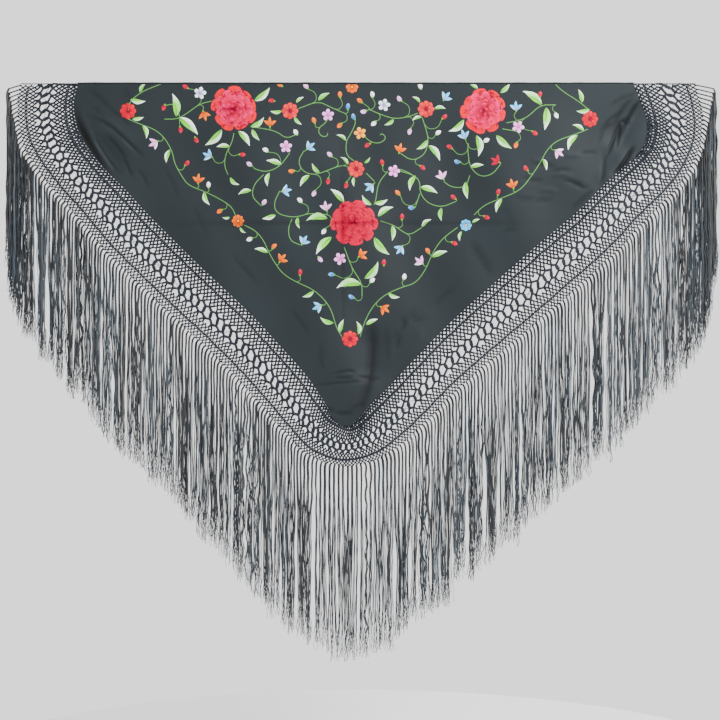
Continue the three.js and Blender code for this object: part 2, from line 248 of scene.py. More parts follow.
def make_piece(name, points, faces, finish, slot, values=None):
    """A smooth-shaded mesh from corner points and faces, with named values at its corners."""
    mesh = bpy.data.meshes.new(name)
    mesh.from_pydata(points.reshape(-1, 3).tolist(), [], [f for group in faces for f in group.tolist()])
    mesh.polygons.foreach_set("use_smooth", np.ones(len(mesh.polygons), bool))
    for key, corner_values in (values or {}).items():
        attribute = mesh.attributes.new(key, "FLOAT_VECTOR", "POINT")
        attribute.data.foreach_set("vector", corner_values.astype(np.float32).ravel())
    mesh.materials.append(finish.material)
    mesh.update()
    made = bpy.data.objects.new(name, mesh)
    bpy.context.scene.collection.objects.link(made)
    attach(made, "root")
    return made


class Tone:
    """A number or colour that varies over a surface. Sums on it add Math nodes."""

    def __init__(self, finish, socket):
        self.finish, self.socket = finish, socket

    def sum(self, operation, *values):
        return self.finish.tone("ShaderNodeMath", {"operation": operation}, dict(enumerate(values)))

    def __add__(self, other):
        return self.sum("ADD", self, other)

    def __sub__(self, other):
        return self.sum("SUBTRACT", self, other)

    def __rsub__(self, other):
        return self.sum("SUBTRACT", other, self)

    def __mul__(self, other):
        return self.sum("MULTIPLY", self, other)

    __radd__ = __add__
    __rmul__ = __mul__


class Finish:
    """A material being mixed. node() adds a node, tone() gives one of its outputs, and
    stored() gives a value that the mesh holds at its corners."""

    def __init__(self, name, evenly):
        self.material = bpy.data.materials.new(name)
        self.material.use_nodes = True
        self.nodes, self.links = self.material.node_tree.nodes, self.material.node_tree.links
        self.coat = self.nodes["Principled BSDF"]
        for key, value in evenly.items():
            self.coat.inputs[key].default_value = value

    def node(self, kind, settings=None, inputs=None):
        made = self.nodes.new(kind)
        for key, value in (settings or {}).items():
            setattr(made, key, value)
        self.feed(made, inputs or {})
        return made

    def feed(self, node, inputs):
        for key, value in inputs.items():
            if isinstance(value, Tone):
                self.links.new(value.socket, node.inputs[key])
            else:
                node.inputs[key].default_value = value

    def tone(self, kind, settings=None, inputs=None, output=0):
        return Tone(self, self.node(kind, settings, inputs).outputs[output])

    def place(self):
        return self.tone("ShaderNodeTexCoord", output="Object")

    def stored(self, name, output):
        return self.tone("ShaderNodeAttribute", {"attribute_name": name}, None, output)

    def noise(self, place, scale, detail=2.0, roughness=0.5):
        inputs = {"Vector": place, "Scale": scale, "Detail": detail, "Roughness": roughness}
        return self.tone("ShaderNodeTexNoise", None, inputs)

    def blend(self, share, first, second):
        first, second = (c if isinstance(c, Tone) else (*c, 1) for c in (first, second))
        settings = {"data_type": "RGBA", "clamp_factor": True}
        return self.tone("ShaderNodeMix", settings, {0: share, 6: first, 7: second}, 2)

    def relief(self, height, distance, strength=1.0):
        inputs = {"Height": height, "Distance": distance, "Strength": strength}
        return self.tone("ShaderNodeBump", None, inputs)


silk = Finish("silk_crepe", {"Specular IOR Level": 0.14, "Sheen Weight": 0.02, "Sheen Roughness": 0.5})
cloth_place = silk.place()
cloud = silk.noise(cloth_place, CREPE_CLOUDS, 3.0)
grain = silk.noise(cloth_place, CREPE_GRAIN, 3.0, 0.7)
# Painted shade: the mesh holds at its corners how deep in a crease each point lies, and the colour
# darkens there.
painted_crease_shade = silk.stored("painted_crease_shade", "Fac")
crepe_colour = silk.blend(cloud * 0.7 + grain * 0.5 - 0.1, SILK_DARK, SILK_LIGHT)
silk.feed(silk.coat, {
    "Base Color": silk.blend(painted_crease_shade, crepe_colour, SILK_PAINTED_SHADE_IN_CREASES),
    "Roughness": 0.5 + grain * 0.22,
    "Normal": silk.relief(grain, GRAIN_DEPTH, 0.6),
})

outline = net_place(np.linspace(0, 1, OUTLINE_POINTS), 0.0)
tip = outline[:, 1].argmin()
down = np.interp(np.linspace(0, 1, CLOTH_ROWS), *ROW_SHARES)
row_z = CLOTH_TOP + (outline[tip, 1] + ABOVE_TIP - CLOTH_TOP) * down
left = np.interp(-row_z, -outline[: tip + 1, 1], outline[: tip + 1, 0])
right = np.interp(-row_z, -outline[tip:, 1][::-1], outline[tip:, 0][::-1])
column = np.linspace(0, 1, CLOTH_COLUMNS)
column = column - FINER_AT_SIDES * np.sin(2 * math.pi * column) / (2 * math.pi)
cloth_x = left[:, None] + (right - left)[:, None] * column
cloth_z = np.repeat(row_z[:, None], CLOTH_COLUMNS, axis=1)
cloth_points = np.stack([cloth_x, stand_off(cloth_x, cloth_z), cloth_z], -1)
cloth_faces = [grid_faces(CLOTH_ROWS, CLOTH_COLUMNS)[:, ::-1]]
# Painted shade along the creases, twice as strong along the storage creases, fading in just under the
# top edge.
painted_shade_in_creases = ridges(cloth_x, cloth_z, CREASES) + 2 * ridges(cloth_x, cloth_z, STORAGE_CREASES)
painted_shade_in_creases = 1 - np.exp(-np.maximum(painted_shade_in_creases, 0) / CREASE_SHADE)
painted_shade_in_creases = painted_shade_in_creases * smooth(-cloth_z / SHADE_STARTS_IN)
cloth_values = {"painted_crease_shade": np.repeat(painted_shade_in_creases[..., None], 3, axis=-1)}
cloth = make_piece("silk_crepe_cloth", cloth_points, cloth_faces, silk, "silk", cloth_values)
shell = cloth.modifiers.new("shell", "SOLIDIFY")
shell.thickness = SHELL
shell.offset = 0
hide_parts("silk_cloth")

# The top edge
# A slim hem along the whole straight edge of the silk. The raw edge is rolled over towards
# the back by hand and caught down with tiny stitches, so the roll is never quite even.
HEM_RADIUS = 1.9 * MM
HEM_SIDES = 8
HEM_STEPS = 480
# How much of its radius it swells by, and how far it wanders in depth and in height, each
# with its turns along X in radians a metre.
HEM_SWELLS = ((0.05, 130), (0.04, 310))
HEM_WANDERS = ((0.3 * MM, 61), (0.2 * MM, 83))


def threads(paths, radii, sides):
    """Tubes along many paths at once: round each point a ring of corners square to the
    path. Neighbouring rings are joined by quads, and the two end rings are closed."""
    ahead = np.gradient(paths, axis=1)
    ahead /= np.linalg.norm(ahead, axis=-1, keepdims=True)
    side = np.cross(ahead, (0.0, 1.0, 0.0))
    side /= np.maximum(np.linalg.norm(side, axis=-1, keepdims=True), 1e-9)
    front = np.cross(side, ahead)
    turn = 2 * math.pi * np.arange(sides)[:, None] / sides
    ring = side[:, :, None] * np.cos(turn) + front[:, :, None] * np.sin(turn)
    points = paths[:, :, None] + radii[..., None, None] * ring
    corner = np.arange(points[..., 0].size).reshape(points.shape[:3])
    beside = np.roll(corner, -1, axis=2)
    quads = [corner[:, :-1], corner[:, 1:], beside[:, 1:], beside[:, :-1]]
    walls = np.stack(quads, -1).reshape(-1, 4)
    return points.reshape(-1, 3), [walls, corner[:, 0], corner[:, -1, ::-1]]


def joined(parts):
    """Several meshes as one: the corner numbers of each move up past those before it."""
    points, faces, start = [], [], 0
    for part_points, part_faces in parts:
        points.append(part_points)
        faces += [group + start for group in part_faces]
        start += len(part_points)
    return np.concatenate(points), faces


cloth_left, cloth_right = net_place(np.array([0.0, 1.0]), 0.0)[:, 0]
hem_x = np.linspace(cloth_left, cloth_right, HEM_STEPS)
hem_radius = HEM_RADIUS * (1 + sum(swell * np.sin(hem_x * rate) for swell, rate in HEM_SWELLS))
hem_path = np.stack([hem_x, *(far * np.sin(hem_x * rate) for far, rate in HEM_WANDERS)], -1)
hem_points, hem_faces = threads(hem_path[None], hem_radius[None], HEM_SIDES)
hem = make_piece("rolled_hem", hem_points, hem_faces, silk, "silk")
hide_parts("top_hem")

# The net band
# Silk threads knotted by hand into small diamonds, from the cloth's edge outwards. Two
# dark cords run along it, and between them is an openwork row of long and round gaps. A
# twisted pair of threads finishes both of its ends along the top.
INNER_COLUMNS, OUTER_COLUMNS = 238, 272
BARS = 124
# The fine threads, thinner where they crowd, by rows from the cloth outwards; the knots;
# the cords of two threads; the bars of three, with the legs that fork from both of their
# ends and the ties from the legs to the fine rows; and a few stray threads.
FINE_RADIUS = 2.1 * MM
FULL_SPACING = 7.0 * MM
LEAST_CROWDED = 0.42
INNER_THICKNESS = (1.6, 1.4, 1.15, 1.25, 1.3, 1.25, 1.25)
OUTER_THICKNESS = (1.1, 1.05, 1.0, 0.98, 0.95, 0.95)
KNOT_RADIUS = 2.9 * MM
KNOT_CORNERS = 5
KNOT_WIDE, KNOT_DEEP = 0.85, 0.7
KNOT_RING_UP, KNOT_POLE_UP = 0.45, 0.95
KNOT_TWIST = 0.63
CORD_RADII = (2.0 * MM, 1.7 * MM)
CORD_LAY = 0.6 * MM
CORD_STEPS = 4
CORD_TWIST = 1.3
BAR_RADIUS = 2.15 * MM
BAR_THREADS = (-2.3 * MM, 0, 2.3 * MM)
BAR_BELLY = (0.25, 0.7)
LEG_RADIUS = 2.35 * MM
LEG_APART = np.array([0.8, 0.6, 0.8]) * MM
TIE_RADIUS = 1.2 * FINE_RADIUS
HEAD_RADIUS = 3.8 * MM
MEETING_RADIUS = 4.0 * MM
STRAY_RADIUS = 0.7 * MM
STRAY_SHARE = 0.25
STRAY_HANG = np.array([0, 1.2, -1.5]) * MM
END_RADIUS = 0.9 * MM
END_LAY = 0.8 * MM
END_STEPS = 70
END_TWIST = 420
# Shares of the way across the band: the rows of fine knots, the ends of the bars, and the
# knots where the legs that leave the bars meet.
INNER_ROWS = (0.0, 0.05, 0.1, 0.15, 0.203, 0.256, 0.31, 0.364)
OUTER_ROWS = (0.692, 0.748, 0.802, 0.855, 0.904, 0.952, 1.0)
CORD_ROW = 3
BAR_START, BAR_END = 0.472, 0.582
LEGS_MEET_IN, LEGS_MEET_OUT = 0.422, 0.630
# How far the outer half slides towards the point, as a share of the way round, and from
# where and over what share of the way across; where the point is on the way round, and
# how near to it the slide dies out and the inner rows draw together.
SLANT = 0.0052
SLANT_FROM, SLANT_WIDTH = 0.375, 0.3
POINT_SHARE = 0.475
STRAIGHT_AT_POINT = 0.05
DRAWN_AT_POINT = 0.02
# Hand-made unevenness: of the fine knots along their row (a share of a cell), across the
# band and in depth, of the bars and legs along and across the band, of how the legs and
# the bars' threads bow, and of the knots' sizes.
NET_UNEVEN = 0.11
ROW_UNEVEN = 0.007
DEPTH_UNEVEN = 0.8 * MM
OPEN_UNEVEN = 0.0012
BAR_UNEVEN = 0.014
MEETING_UNEVEN = 0.008
LEG_UNEVEN = 0.9 * MM
BAR_BOW_UNEVEN = 0.5 * MM
STRAY_UNEVEN = 1.5 * MM
KNOT_UNEVEN = 0.2
HEAD_UNEVEN = 0.15
THREAD_CLOUDS, THREAD_TWIST = 160, 2200
TWIST_DEPTH = 0.2 * MM
BLACK_THREAD = (0.003, 0.005, 0.009)
WORN_THREAD = (0.012, 0.016, 0.024)

uneven = np.random.default_rng(4)

thread = Finish("black_silk_thread", {"Specular IOR Level": 0.2})
thread_place = thread.place()
thread_wear = thread.noise(thread_place, THREAD_CLOUDS)
twist = thread.noise(thread_place, THREAD_TWIST, 1.0)
thread.feed(thread.coat, {
    "Base Color": thread.blend(thread_wear * 1.6 - 0.3, BLACK_THREAD, WORN_THREAD),
    "Roughness": 0.42 + twist * 0.2,
    "Normal": thread.relief(twist, TWIST_DEPTH, 0.5),
})


def net_points(share, across):
    """Points of the net's middle surface at a share of the way round and of the way
    across. The outer half slides towards the point as it hangs, and the rows inside the
    inner cord draw together there. The points stay under the top edge, on the waves."""
    share, across = np.broadcast_arrays(share, across)
    sag = SLANT * (smooth((across - SLANT_FROM) / SLANT_WIDTH) - 0.5)
    towards = np.clip((POINT_SHARE - share) / STRAIGHT_AT_POINT, -1, 1)
    drawn = 1 + np.exp(-(((share - POINT_SHARE) / DRAWN_AT_POINT) ** 2))
    inner = INNER_ROWS[-1] * np.clip(across / INNER_ROWS[-1], 0, 1) ** drawn
    across = np.where(across < INNER_ROWS[-1], inner, across)
    flat = net_place(np.clip(share + sag * towards, 0, 1), across)
    x, z = flat[..., 0], np.minimum(flat[..., 1], TOP_EDGE)
    return np.stack([x, stand_off(x, z), z], -1)


def unevenly(shape, amount):
    """Random steps within plus or minus the amount."""
    return uneven.uniform(-amount, amount, shape)


def knots(centres, radii):
    """Small round knots: a ball of two rings of corners and two poles at each centre,
    squashed a little from front to back. The lower ring is turned half a corner on."""
    upper = np.arange(KNOT_CORNERS)
    turn = 2 * math.pi * upper / KNOT_CORNERS
    rings = [
        np.stack([KNOT_WIDE * np.cos(a), KNOT_DEEP * np.sin(a), np.full(KNOT_CORNERS, up)], -1)
        for a, up in ((turn, KNOT_RING_UP), (turn + KNOT_TWIST, -KNOT_RING_UP))
    ]
    ball = np.concatenate([*rings, [(0, 0, KNOT_POLE_UP), (0, 0, -KNOT_POLE_UP)]])
    lower, beside = upper + KNOT_CORNERS, (upper + 1) % KNOT_CORNERS
    top, foot = (np.full(KNOT_CORNERS, 2 * KNOT_CORNERS + pole) for pole in (0, 1))
    triangles = np.concatenate([np.stack(corners, -1) for corners in (
        (upper, beside, top), (upper, lower, beside),
        (beside, lower, beside + KNOT_CORNERS), (lower, foot, beside + KNOT_CORNERS),
    )])
    points = centres[:, None] + radii[:, None, None] * ball
    start = np.arange(len(centres))[:, None, None] * len(ball)
    return points.reshape(-1, 3), [(triangles + start).reshape(-1, 3)]


def links(starts, ends, radius, bow=None, sides=4):
    """Threads from starts to ends, with a middle point that stands off by the bow, if any."""
    stops = [starts, ends] if bow is None else [starts, (starts + ends) / 2 + bow, ends]
    paths = np.stack(stops, 1)
    radii = np.broadcast_to(np.reshape(radius, (-1, 1)), paths.shape[:2])
    return threads(paths, radii, sides)


def twisted_pair(core, turn, lay, radius, sides):
    """Two threads wound round a core. They stand off it by the lay, one at the given turn
    and one on the other side."""
    pair = []
    for half in (0, math.pi):
        wound = core.copy()
        wound[:, 1] += lay * np.cos(turn + half)
        wound[:, 2] += lay * np.sin(turn + half)
        pair.append(threads(wound[None], np.full((1, len(wound)), radius), sides))
    return pair


def fine_rows(rows, columns, thickness):
    """Knots in rows, each row half a cell on from the last, with two threads from each
    knot to the next row. All are thinner where the knots crowd round the point. Returns
    the meshes, and the knots and their shares of the way round for every row."""
    column = np.arange(columns + 1, dtype=float)
    lines, shares, crowding = [], [], []
    for j, across in enumerate(rows):
        share = (column + 0.5 * (j % 2) + unevenly(column.shape, NET_UNEVEN)) / columns
        line = net_points(share, np.clip(across + unevenly(column.shape, ROW_UNEVEN), 0, 1))
        line[:, 1] += unevenly(column.shape, DEPTH_UNEVEN)
        even_line = net_points((column + 0.5) / columns, across)
        spacing = np.linalg.norm(np.gradient(even_line, axis=0), axis=1)
        lines.append(line)
        shares.append(share)
        crowding.append(np.clip(spacing / FULL_SPACING, LEAST_CROWDED, 1))
    parts = []
    for j in range(len(rows) - 1):
        this, after = lines[j], lines[j + 1]
        radius = FINE_RADIUS * thickness[j] * crowding[j]
        parts.append(links(this, after, radius, sides=3))
        if j % 2:
            parts.append(links(this[:-1], after[1:], radius[:-1], sides=3))
        else:
            parts.append(links(this[1:], after[:-1], radius[1:], sides=3))
    for line, crowded in zip(lines, crowding):
        size = 1 + unevenly(len(line), KNOT_UNEVEN)
        parts.append(knots(line, KNOT_RADIUS * crowded * size))
    return joined(parts), lines, shares


inner_mesh, inner_knots, inner_shares = fine_rows(INNER_ROWS, INNER_COLUMNS, INNER_THICKNESS)
outer_mesh, outer_knots, outer_shares = fine_rows(OUTER_ROWS, OUTER_COLUMNS, OUTER_THICKNESS)
inner_net = make_piece("net_inner_mesh", *inner_mesh, thread, "thread")
outer_net = make_piece("net_outer_mesh", *outer_mesh, thread, "thread")
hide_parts("net_band_left", "net_band_point", "net_band_right")

cord_parts = []
for cord, cord_radius in zip((inner_knots[CORD_ROW], outer_knots[CORD_ROW]), CORD_RADII):
    cord_step = np.arange((len(cord) - 1) * CORD_STEPS + 1)
    knot_step = np.arange(len(cord)) * CORD_STEPS
    core = np.stack([np.interp(cord_step, knot_step, cord[:, k]) for k in range(3)], -1)
    cord_parts += twisted_pair(core, cord_step * CORD_TWIST, CORD_LAY, cord_radius, 4)
cords = make_piece("net_cords", *joined(cord_parts), thread, "thread")

bar_share = (np.arange(BARS) + 0.5) / BARS
meeting_share = np.clip(np.arange(BARS + 1) / BARS + unevenly(BARS + 1, OPEN_UNEVEN), 0, 1)
bar_top, bar_foot = (
    net_points(bar_share + unevenly(BARS, OPEN_UNEVEN), across + unevenly(BARS, BAR_UNEVEN))
    for across in (BAR_START, BAR_END)
)
open_parts = []
for meet, ends, fine_line, fine_share in (
    (LEGS_MEET_IN, bar_top, inner_knots[-1], inner_shares[-1]),
    (LEGS_MEET_OUT, bar_foot, outer_knots[0], outer_shares[0]),
):
    meeting = net_points(meeting_share, meet + unevenly(BARS + 1, MEETING_UNEVEN))
    before = np.searchsorted(fine_share, meeting_share) - 1
    for side_step in (0, 1):
        fine_end = fine_line[np.clip(before + side_step, 0, len(fine_line) - 1)]
        open_parts.append(links(meeting, fine_end, TIE_RADIUS))
    for shift in (-LEG_APART, LEG_APART):
        bow = unevenly(BARS, LEG_UNEVEN)[:, None] * np.array([1, 0, 1])
        open_parts.append(links(ends + shift, meeting[:-1] + shift, LEG_RADIUS, bow))
        open_parts.append(links(ends + shift, meeting[1:] + shift, LEG_RADIUS, -bow))
    open_parts.append(knots(meeting, MEETING_RADIUS * (1 + unevenly(len(meeting), KNOT_UNEVEN))))
    open_parts.append(knots(ends, HEAD_RADIUS * (1 + unevenly(len(ends), HEAD_UNEVEN))))
along_bar = bar_foot - bar_top
along_bar /= np.linalg.norm(along_bar, axis=1, keepdims=True)
beside_bar = np.cross(along_bar, (0.0, 1.0, 0.0))
for apart in BAR_THREADS:
    spread = (apart + unevenly(BARS, BAR_BOW_UNEVEN))[:, None] * beside_bar
    spread = spread + unevenly((BARS, 1), BAR_BOW_UNEVEN) * np.array([0, 1, 0])
    belly = [bar_top * (1 - share) + bar_foot * share + spread for share in BAR_BELLY]
    paths = np.stack([bar_top, *belly, bar_foot], 1)
    open_parts.append(threads(paths, np.full(paths.shape[:2], BAR_RADIUS), 4))
for first, second in ((bar_top[:-1], bar_foot[1:]), (bar_foot[:-1], bar_top[1:])):
    stray = uneven.random(BARS - 1) < STRAY_SHARE
    hang = unevenly((int(stray.sum()), 1), STRAY_UNEVEN) + STRAY_HANG
    open_parts.append(links(first[stray], second[stray], STRAY_RADIUS, hang))
openwork = make_piece("net_openwork", *joined(open_parts), thread, "thread")

net_left, net_right = net_place(np.array([0.0, 1.0]), 1.0)[:, 0]
end_parts = []
for from_x, to_x in ((net_left, cloth_left), (cloth_right, net_right)):
    end_x = np.linspace(from_x, to_x, END_STEPS)
    core = np.stack([end_x, 0 * end_x, 0 * end_x + TOP_EDGE], -1)
    end_parts += twisted_pair(core, end_x * END_TWIST, END_LAY, END_RADIUS, 5)
net_ends = make_piece("net_top_cords", *joined(end_parts), thread, "thread")

# The fringe
# Locks of fine silk thread that carry on from the net's last knots. They leave the rim
# square to it, bend down within a few centimetres, gather in loose bunches and fray.
LOCKS = 246
THREADS_A_LOCK = 9
FRINGE_STEPS = 30
FRINGE_LENGTH = 470 * MM
SHORTER_AT_LEFT = 31 * MM
SHORTER_UNTIL, SHORTER_FADE = 0.4, 0.2
ROOT_THROW = 10 * MM
LEAST_SPACING = 2.0 * MM
THREAD_RADIUS = 0.9 * MM
LOCK_RADIUS = 2.6 * MM
LOOSE_RADIUS = 5.6 * MM
FRAY = 5.0 * MM
LAYERS_DEEP = 8 * MM
DEEPEST_LOCK = 5 * MM
FRAY_FROM = 0.78
STEEPEST, LEAST_BEND = 1.5, 4 * MM
LOCK_TWIST = 7
# Where in its drop a lock comes loose, and where it starts to draw together, each with the
# length that this takes; and the lengths from the rim in which it ripples, finds its layer,
# grows pale with painted sheen and thins.
LOOSE_FROM, LOOSE_OVER = 30 * MM, 200 * MM
GATHER_FROM, GATHER_TO, GATHER_OVER = 20 * MM, 160 * MM, 170 * MM
RIPPLE_OVER, LAYERS_OVER, PAINTED_SHEEN_OVER, THIN_OVER = 25 * MM, 30 * MM, 100 * MM, 120 * MM
# A thread's thickness at the rim, and how much it loses on the way and at its frayed end.
ROOT_THICK, THINNED, FRAYED = 1.65, 0.62, 0.42
LENGTH_UNEVEN, BUNCH_UNEVEN = 5 * MM, 9 * MM
BUNCH_SIZES = (1, 1, 2, 3, 5)
# How far a bunch draws its locks together, how long a thread is as a share of its lock and
# how lively a lock hangs, each with the odds of it.
PULLS, PULL_ODDS = (0.0, 0.18, 0.38, 0.62), (0.32, 0.3, 0.24, 0.14)
CUTS, CUT_ODDS = (1.02, 1.0, 0.97, 0.93, 0.86), (0.3, 0.34, 0.22, 0.09, 0.05)
LIVELY, LIVELY_ODDS = (0.35, 0.8, 2.0), (0.55, 0.32, 0.13)
# The waves in the silk, in millimetres: height, shortest length and longest length.
ROOT_RIPPLE, SLOW_SWAY, QUICK_SWAY = (0.8, 45, 100), (1.5, 180, 450), (0.8, 60, 130)
KINK, FRIZZ, FINE_FRIZZ = (0.45, 45, 110), (2.0, 35, 60), (1.2, 20, 30)
DEPTH_RIPPLE, END_LIFT = (1.0, 30, 70), (2.0, 20, 40)
FRINGE_NODES = (
    "fringe_left_corner", "fringe_left_side", "fringe_left_low",
    "fringe_right_low", "fringe_right_side", "fringe_right_corner",
)
STRAND_PATCHES = 45
# The dark silk, the pale grey painted in for its sheen and for lit and shaded bunches, and a brown tint.
DARK_STRAND = (0.005, 0.008, 0.013)
PAINTED_SHEEN_STRAND = (0.115, 0.150, 0.180)
BROWN_STRAND = (0.060, 0.054, 0.048)

fringe_silk = Finish("fringe_silk", {"Specular IOR Level": 0.25})
# Painted sheen and shade: each thread blends from the dark silk towards the pale grey by its stored
# share, then towards the brown tint.
strand_sheen_and_tint = fringe_silk.stored("strand", "Vector")
strand_parts = fringe_silk.node("ShaderNodeSeparateXYZ", None, {0: strand_sheen_and_tint})
painted_sheen_and_shade, tint = (Tone(fringe_silk, strand_parts.outputs[k]) for k in (0, 1))
patches = fringe_silk.noise(fringe_silk.place(), STRAND_PATCHES)
fringe_colour_with_painted_sheen = fringe_silk.blend(painted_sheen_and_shade + patches * 0.5 - 0.25, DARK_STRAND, PAINTED_SHEEN_STRAND)
fringe_silk.feed(fringe_silk.coat, {
    "Base Color": fringe_silk.blend(tint, fringe_colour_with_painted_sheen, BROWN_STRAND),
    "Roughness": 0.36 + patches * 0.3,
})

strand_random = np.random.default_rng(11)
lock_share = (np.arange(LOCKS) + 0.5) / LOCKS
root = net_place(lock_share, 1.0)
outward = root - net_place(lock_share, 0.0)
outward /= np.linalg.norm(outward, axis=1, keepdims=True)
hang_x = root[:, 0] + ROOT_THROW * outward[:, 0]
middle = LOCKS // 2
step = LEAST_SPACING * np.arange(LOCKS)
hang_x[:middle] = np.minimum.accumulate((hang_x - step)[:middle][::-1])[::-1] + step[:middle]
hang_x[middle:] = np.maximum.accumulate((hang_x - step)[middle:]) + step[middle:]

bunch = np.repeat(np.arange(LOCKS), strand_random.choice(BUNCH_SIZES, LOCKS))[:LOCKS]
members = np.bincount(bunch)
bunch_x = (np.bincount(bunch, hang_x) / members)[bunch]
pull = strand_random.choice(PULLS, LOCKS, p=PULL_ODDS)[bunch]
# Painted light and shade: whole bunches are made paler or darker at random, as if lit or shaded.
bunch_painted_light_and_shade = strand_random.uniform(0.0, 0.5, LOCKS)[bunch]
gather_at = strand_random.uniform(GATHER_FROM, GATHER_TO, LOCKS)[bunch]
bunch_length = strand_random.normal(0, BUNCH_UNEVEN, LOCKS)[bunch]
shape = (LOCKS, THREADS_A_LOCK)


def along_locks(values):
    """One value for each lock, ready to vary over its threads and their steps."""
    return values[:, None, None]


def per_thread(low, high):
    """One random value for each thread of each lock, ready to vary along its steps."""
    return strand_random.uniform(low, high, shape)[..., None]


def per_lock(low, high):
    """One random value for each lock, shared by its threads."""
    return along_locks(strand_random.uniform(low, high, LOCKS))


def wave(sizes, each):
    """A sine along the drop, with any phase: its height, and a wavelength drawn between
    the shortest and the longest, all in millimetres."""
    height, shortest, longest = sizes
    turns = drop / each(shortest * MM, longest * MM)
    return height * MM * np.sin(2 * math.pi * turns + each(0, 2 * math.pi))


# The lengths, and the drop below the rim at every step, with the steps closer together
# by the rim and by the cut ends.
left_cut = SHORTER_AT_LEFT * smooth((SHORTER_UNTIL - lock_share) / SHORTER_FADE)
lock_length = FRINGE_LENGTH - left_cut + bunch_length + strand_random.normal(0, LENGTH_UNEVEN, LOCKS)
length = along_locks(lock_length) * strand_random.choice(CUTS, shape, p=CUT_ODDS)[..., None]
along = np.linspace(0, 1, FRINGE_STEPS)
drop = length * (along + 0.35 * along * (1 - along) * (2 * along - 1) - 0.12 * along * (1 - along))
gone = smooth((drop - LOOSE_FROM) / LOOSE_OVER)
end = smooth((drop / length - FRAY_FROM) / (1 - FRAY_FROM))
gathered = smooth((drop - along_locks(gather_at)) / GATHER_OVER)

# Across the front: each lock swings down from the rim's slant, draws towards its bunch and
# sways, and its threads stand off its middle and kink.
thrown = along_locks(root[:, 0] - hang_x)
steepness = along_locks(np.minimum(np.abs(outward[:, 1] / outward[:, 0]), STEEPEST))
bend = np.maximum(np.abs(thrown) * steepness, LEAST_BEND)
fall_x = along_locks(hang_x) + thrown * np.exp(-drop / bend)
fall_x = fall_x + along_locks((bunch_x - hang_x) * pull) * gathered
lively = along_locks(strand_random.choice(LIVELY, LOCKS, p=LIVELY_ODDS))
fall_x = fall_x + smooth(drop / RIPPLE_OVER) * wave(ROOT_RIPPLE, per_lock) * lively
fall_x = fall_x + gone * (wave(SLOW_SWAY, per_lock) + lively * wave(QUICK_SWAY, per_lock))
away = LOCK_RADIUS + (LOOSE_RADIUS - LOCK_RADIUS) * gone + FRAY * end * end
angle = per_thread(0, 2 * math.pi) + drop * per_thread(-LOCK_TWIST, LOCK_TWIST)
kink = (0.3 + 0.9 * gone * lively + 2.0 * end) * wave(KINK, per_thread)
frizz = end * (wave(FRIZZ, per_thread) + wave(FINE_FRIZZ, per_thread))
fall_x = fall_x + away * per_thread(0.25, 1.0) * np.cos(angle) + kink + frizz

# In depth: the locks lie in loose layers, set apart by steps of the golden section.
layer = along_locks((np.arange(LOCKS) * 0.618) % 1 - 0.5) * LAYERS_DEEP * smooth(drop / LAYERS_OVER)
root_depth = along_locks(stand_off(root[:, 0], root[:, 1]))
fall_y = root_depth + layer + 0.6 * np.minimum(away, DEEPEST_LOCK) * np.sin(angle)
fall_y = fall_y + (0.4 + end) * wave(DEPTH_RIPPLE, per_thread)
fall_z = along_locks(np.minimum(root[:, 1], TOP_EDGE)) - drop
fall_z = fall_z + end * wave(END_LIFT, per_thread)
fringe_paths = np.stack([fall_x, fall_y, fall_z], -1)
fringe_radii = THREAD_RADIUS * (ROOT_THICK - THINNED * smooth(drop / THIN_OVER) - FRAYED * end)

# Most threads are near black by the rim, and a few grow quite pale further down: this paleness
# is painted sheen, and whole bunches are painted lighter or darker as if lit or shaded.
thread_painted_sheen_and_shade = 0.5 * along_locks(bunch_painted_light_and_shade) + per_thread(-0.12, 0.6) ** 3 * 2.4
thread_painted_sheen_and_shade = thread_painted_sheen_and_shade * (0.15 + 0.85 * smooth(drop / PAINTED_SHEEN_OVER))
thread_tint = per_thread(-0.5, 0.8) + 0 * drop
strand_sheen_and_tint_values = np.stack([thread_painted_sheen_and_shade, thread_tint, 0 * drop], -1).repeat(3, axis=2)
for node, locks in zip(FRINGE_NODES, np.array_split(np.arange(LOCKS), len(FRINGE_NODES))):
    paths = fringe_paths[locks].reshape(-1, FRINGE_STEPS, 3)
    radii = fringe_radii[locks].reshape(-1, FRINGE_STEPS)
    values = {"strand": strand_sheen_and_tint_values[locks]}
    fringe = make_piece(node + "_locks", *threads(paths, radii, 3), fringe_silk, "thread", values)
    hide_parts(node)

# The embroidery
# Untwisted silk floss in satin stitch, alike on both faces of the cloth: two vines that
# meet at the point, inside them branching stems, leaves, buds and small flowers, and
# three large roses. Places are in centimetres from the middle of the top edge.
CM = 0.01
EDGE_SUNK = 0.25 * MM
BELOW_HEM = 1.5 * MM
# The floss's width in millimetres, how deep its strands are, and how its sheen, painted into its
# colour, streaks: across and along the stitches, and by how much it is shifted from shape to shape.
FLOSS_WIDTH = 0.8
FLOSS_RELIEF = 0.25 * MM
STREAK_GRAIN, STREAKS_ALONG, STREAKS_SHIFT = 0.9, 60, 90
GROOVE_WIDTH = 0.16
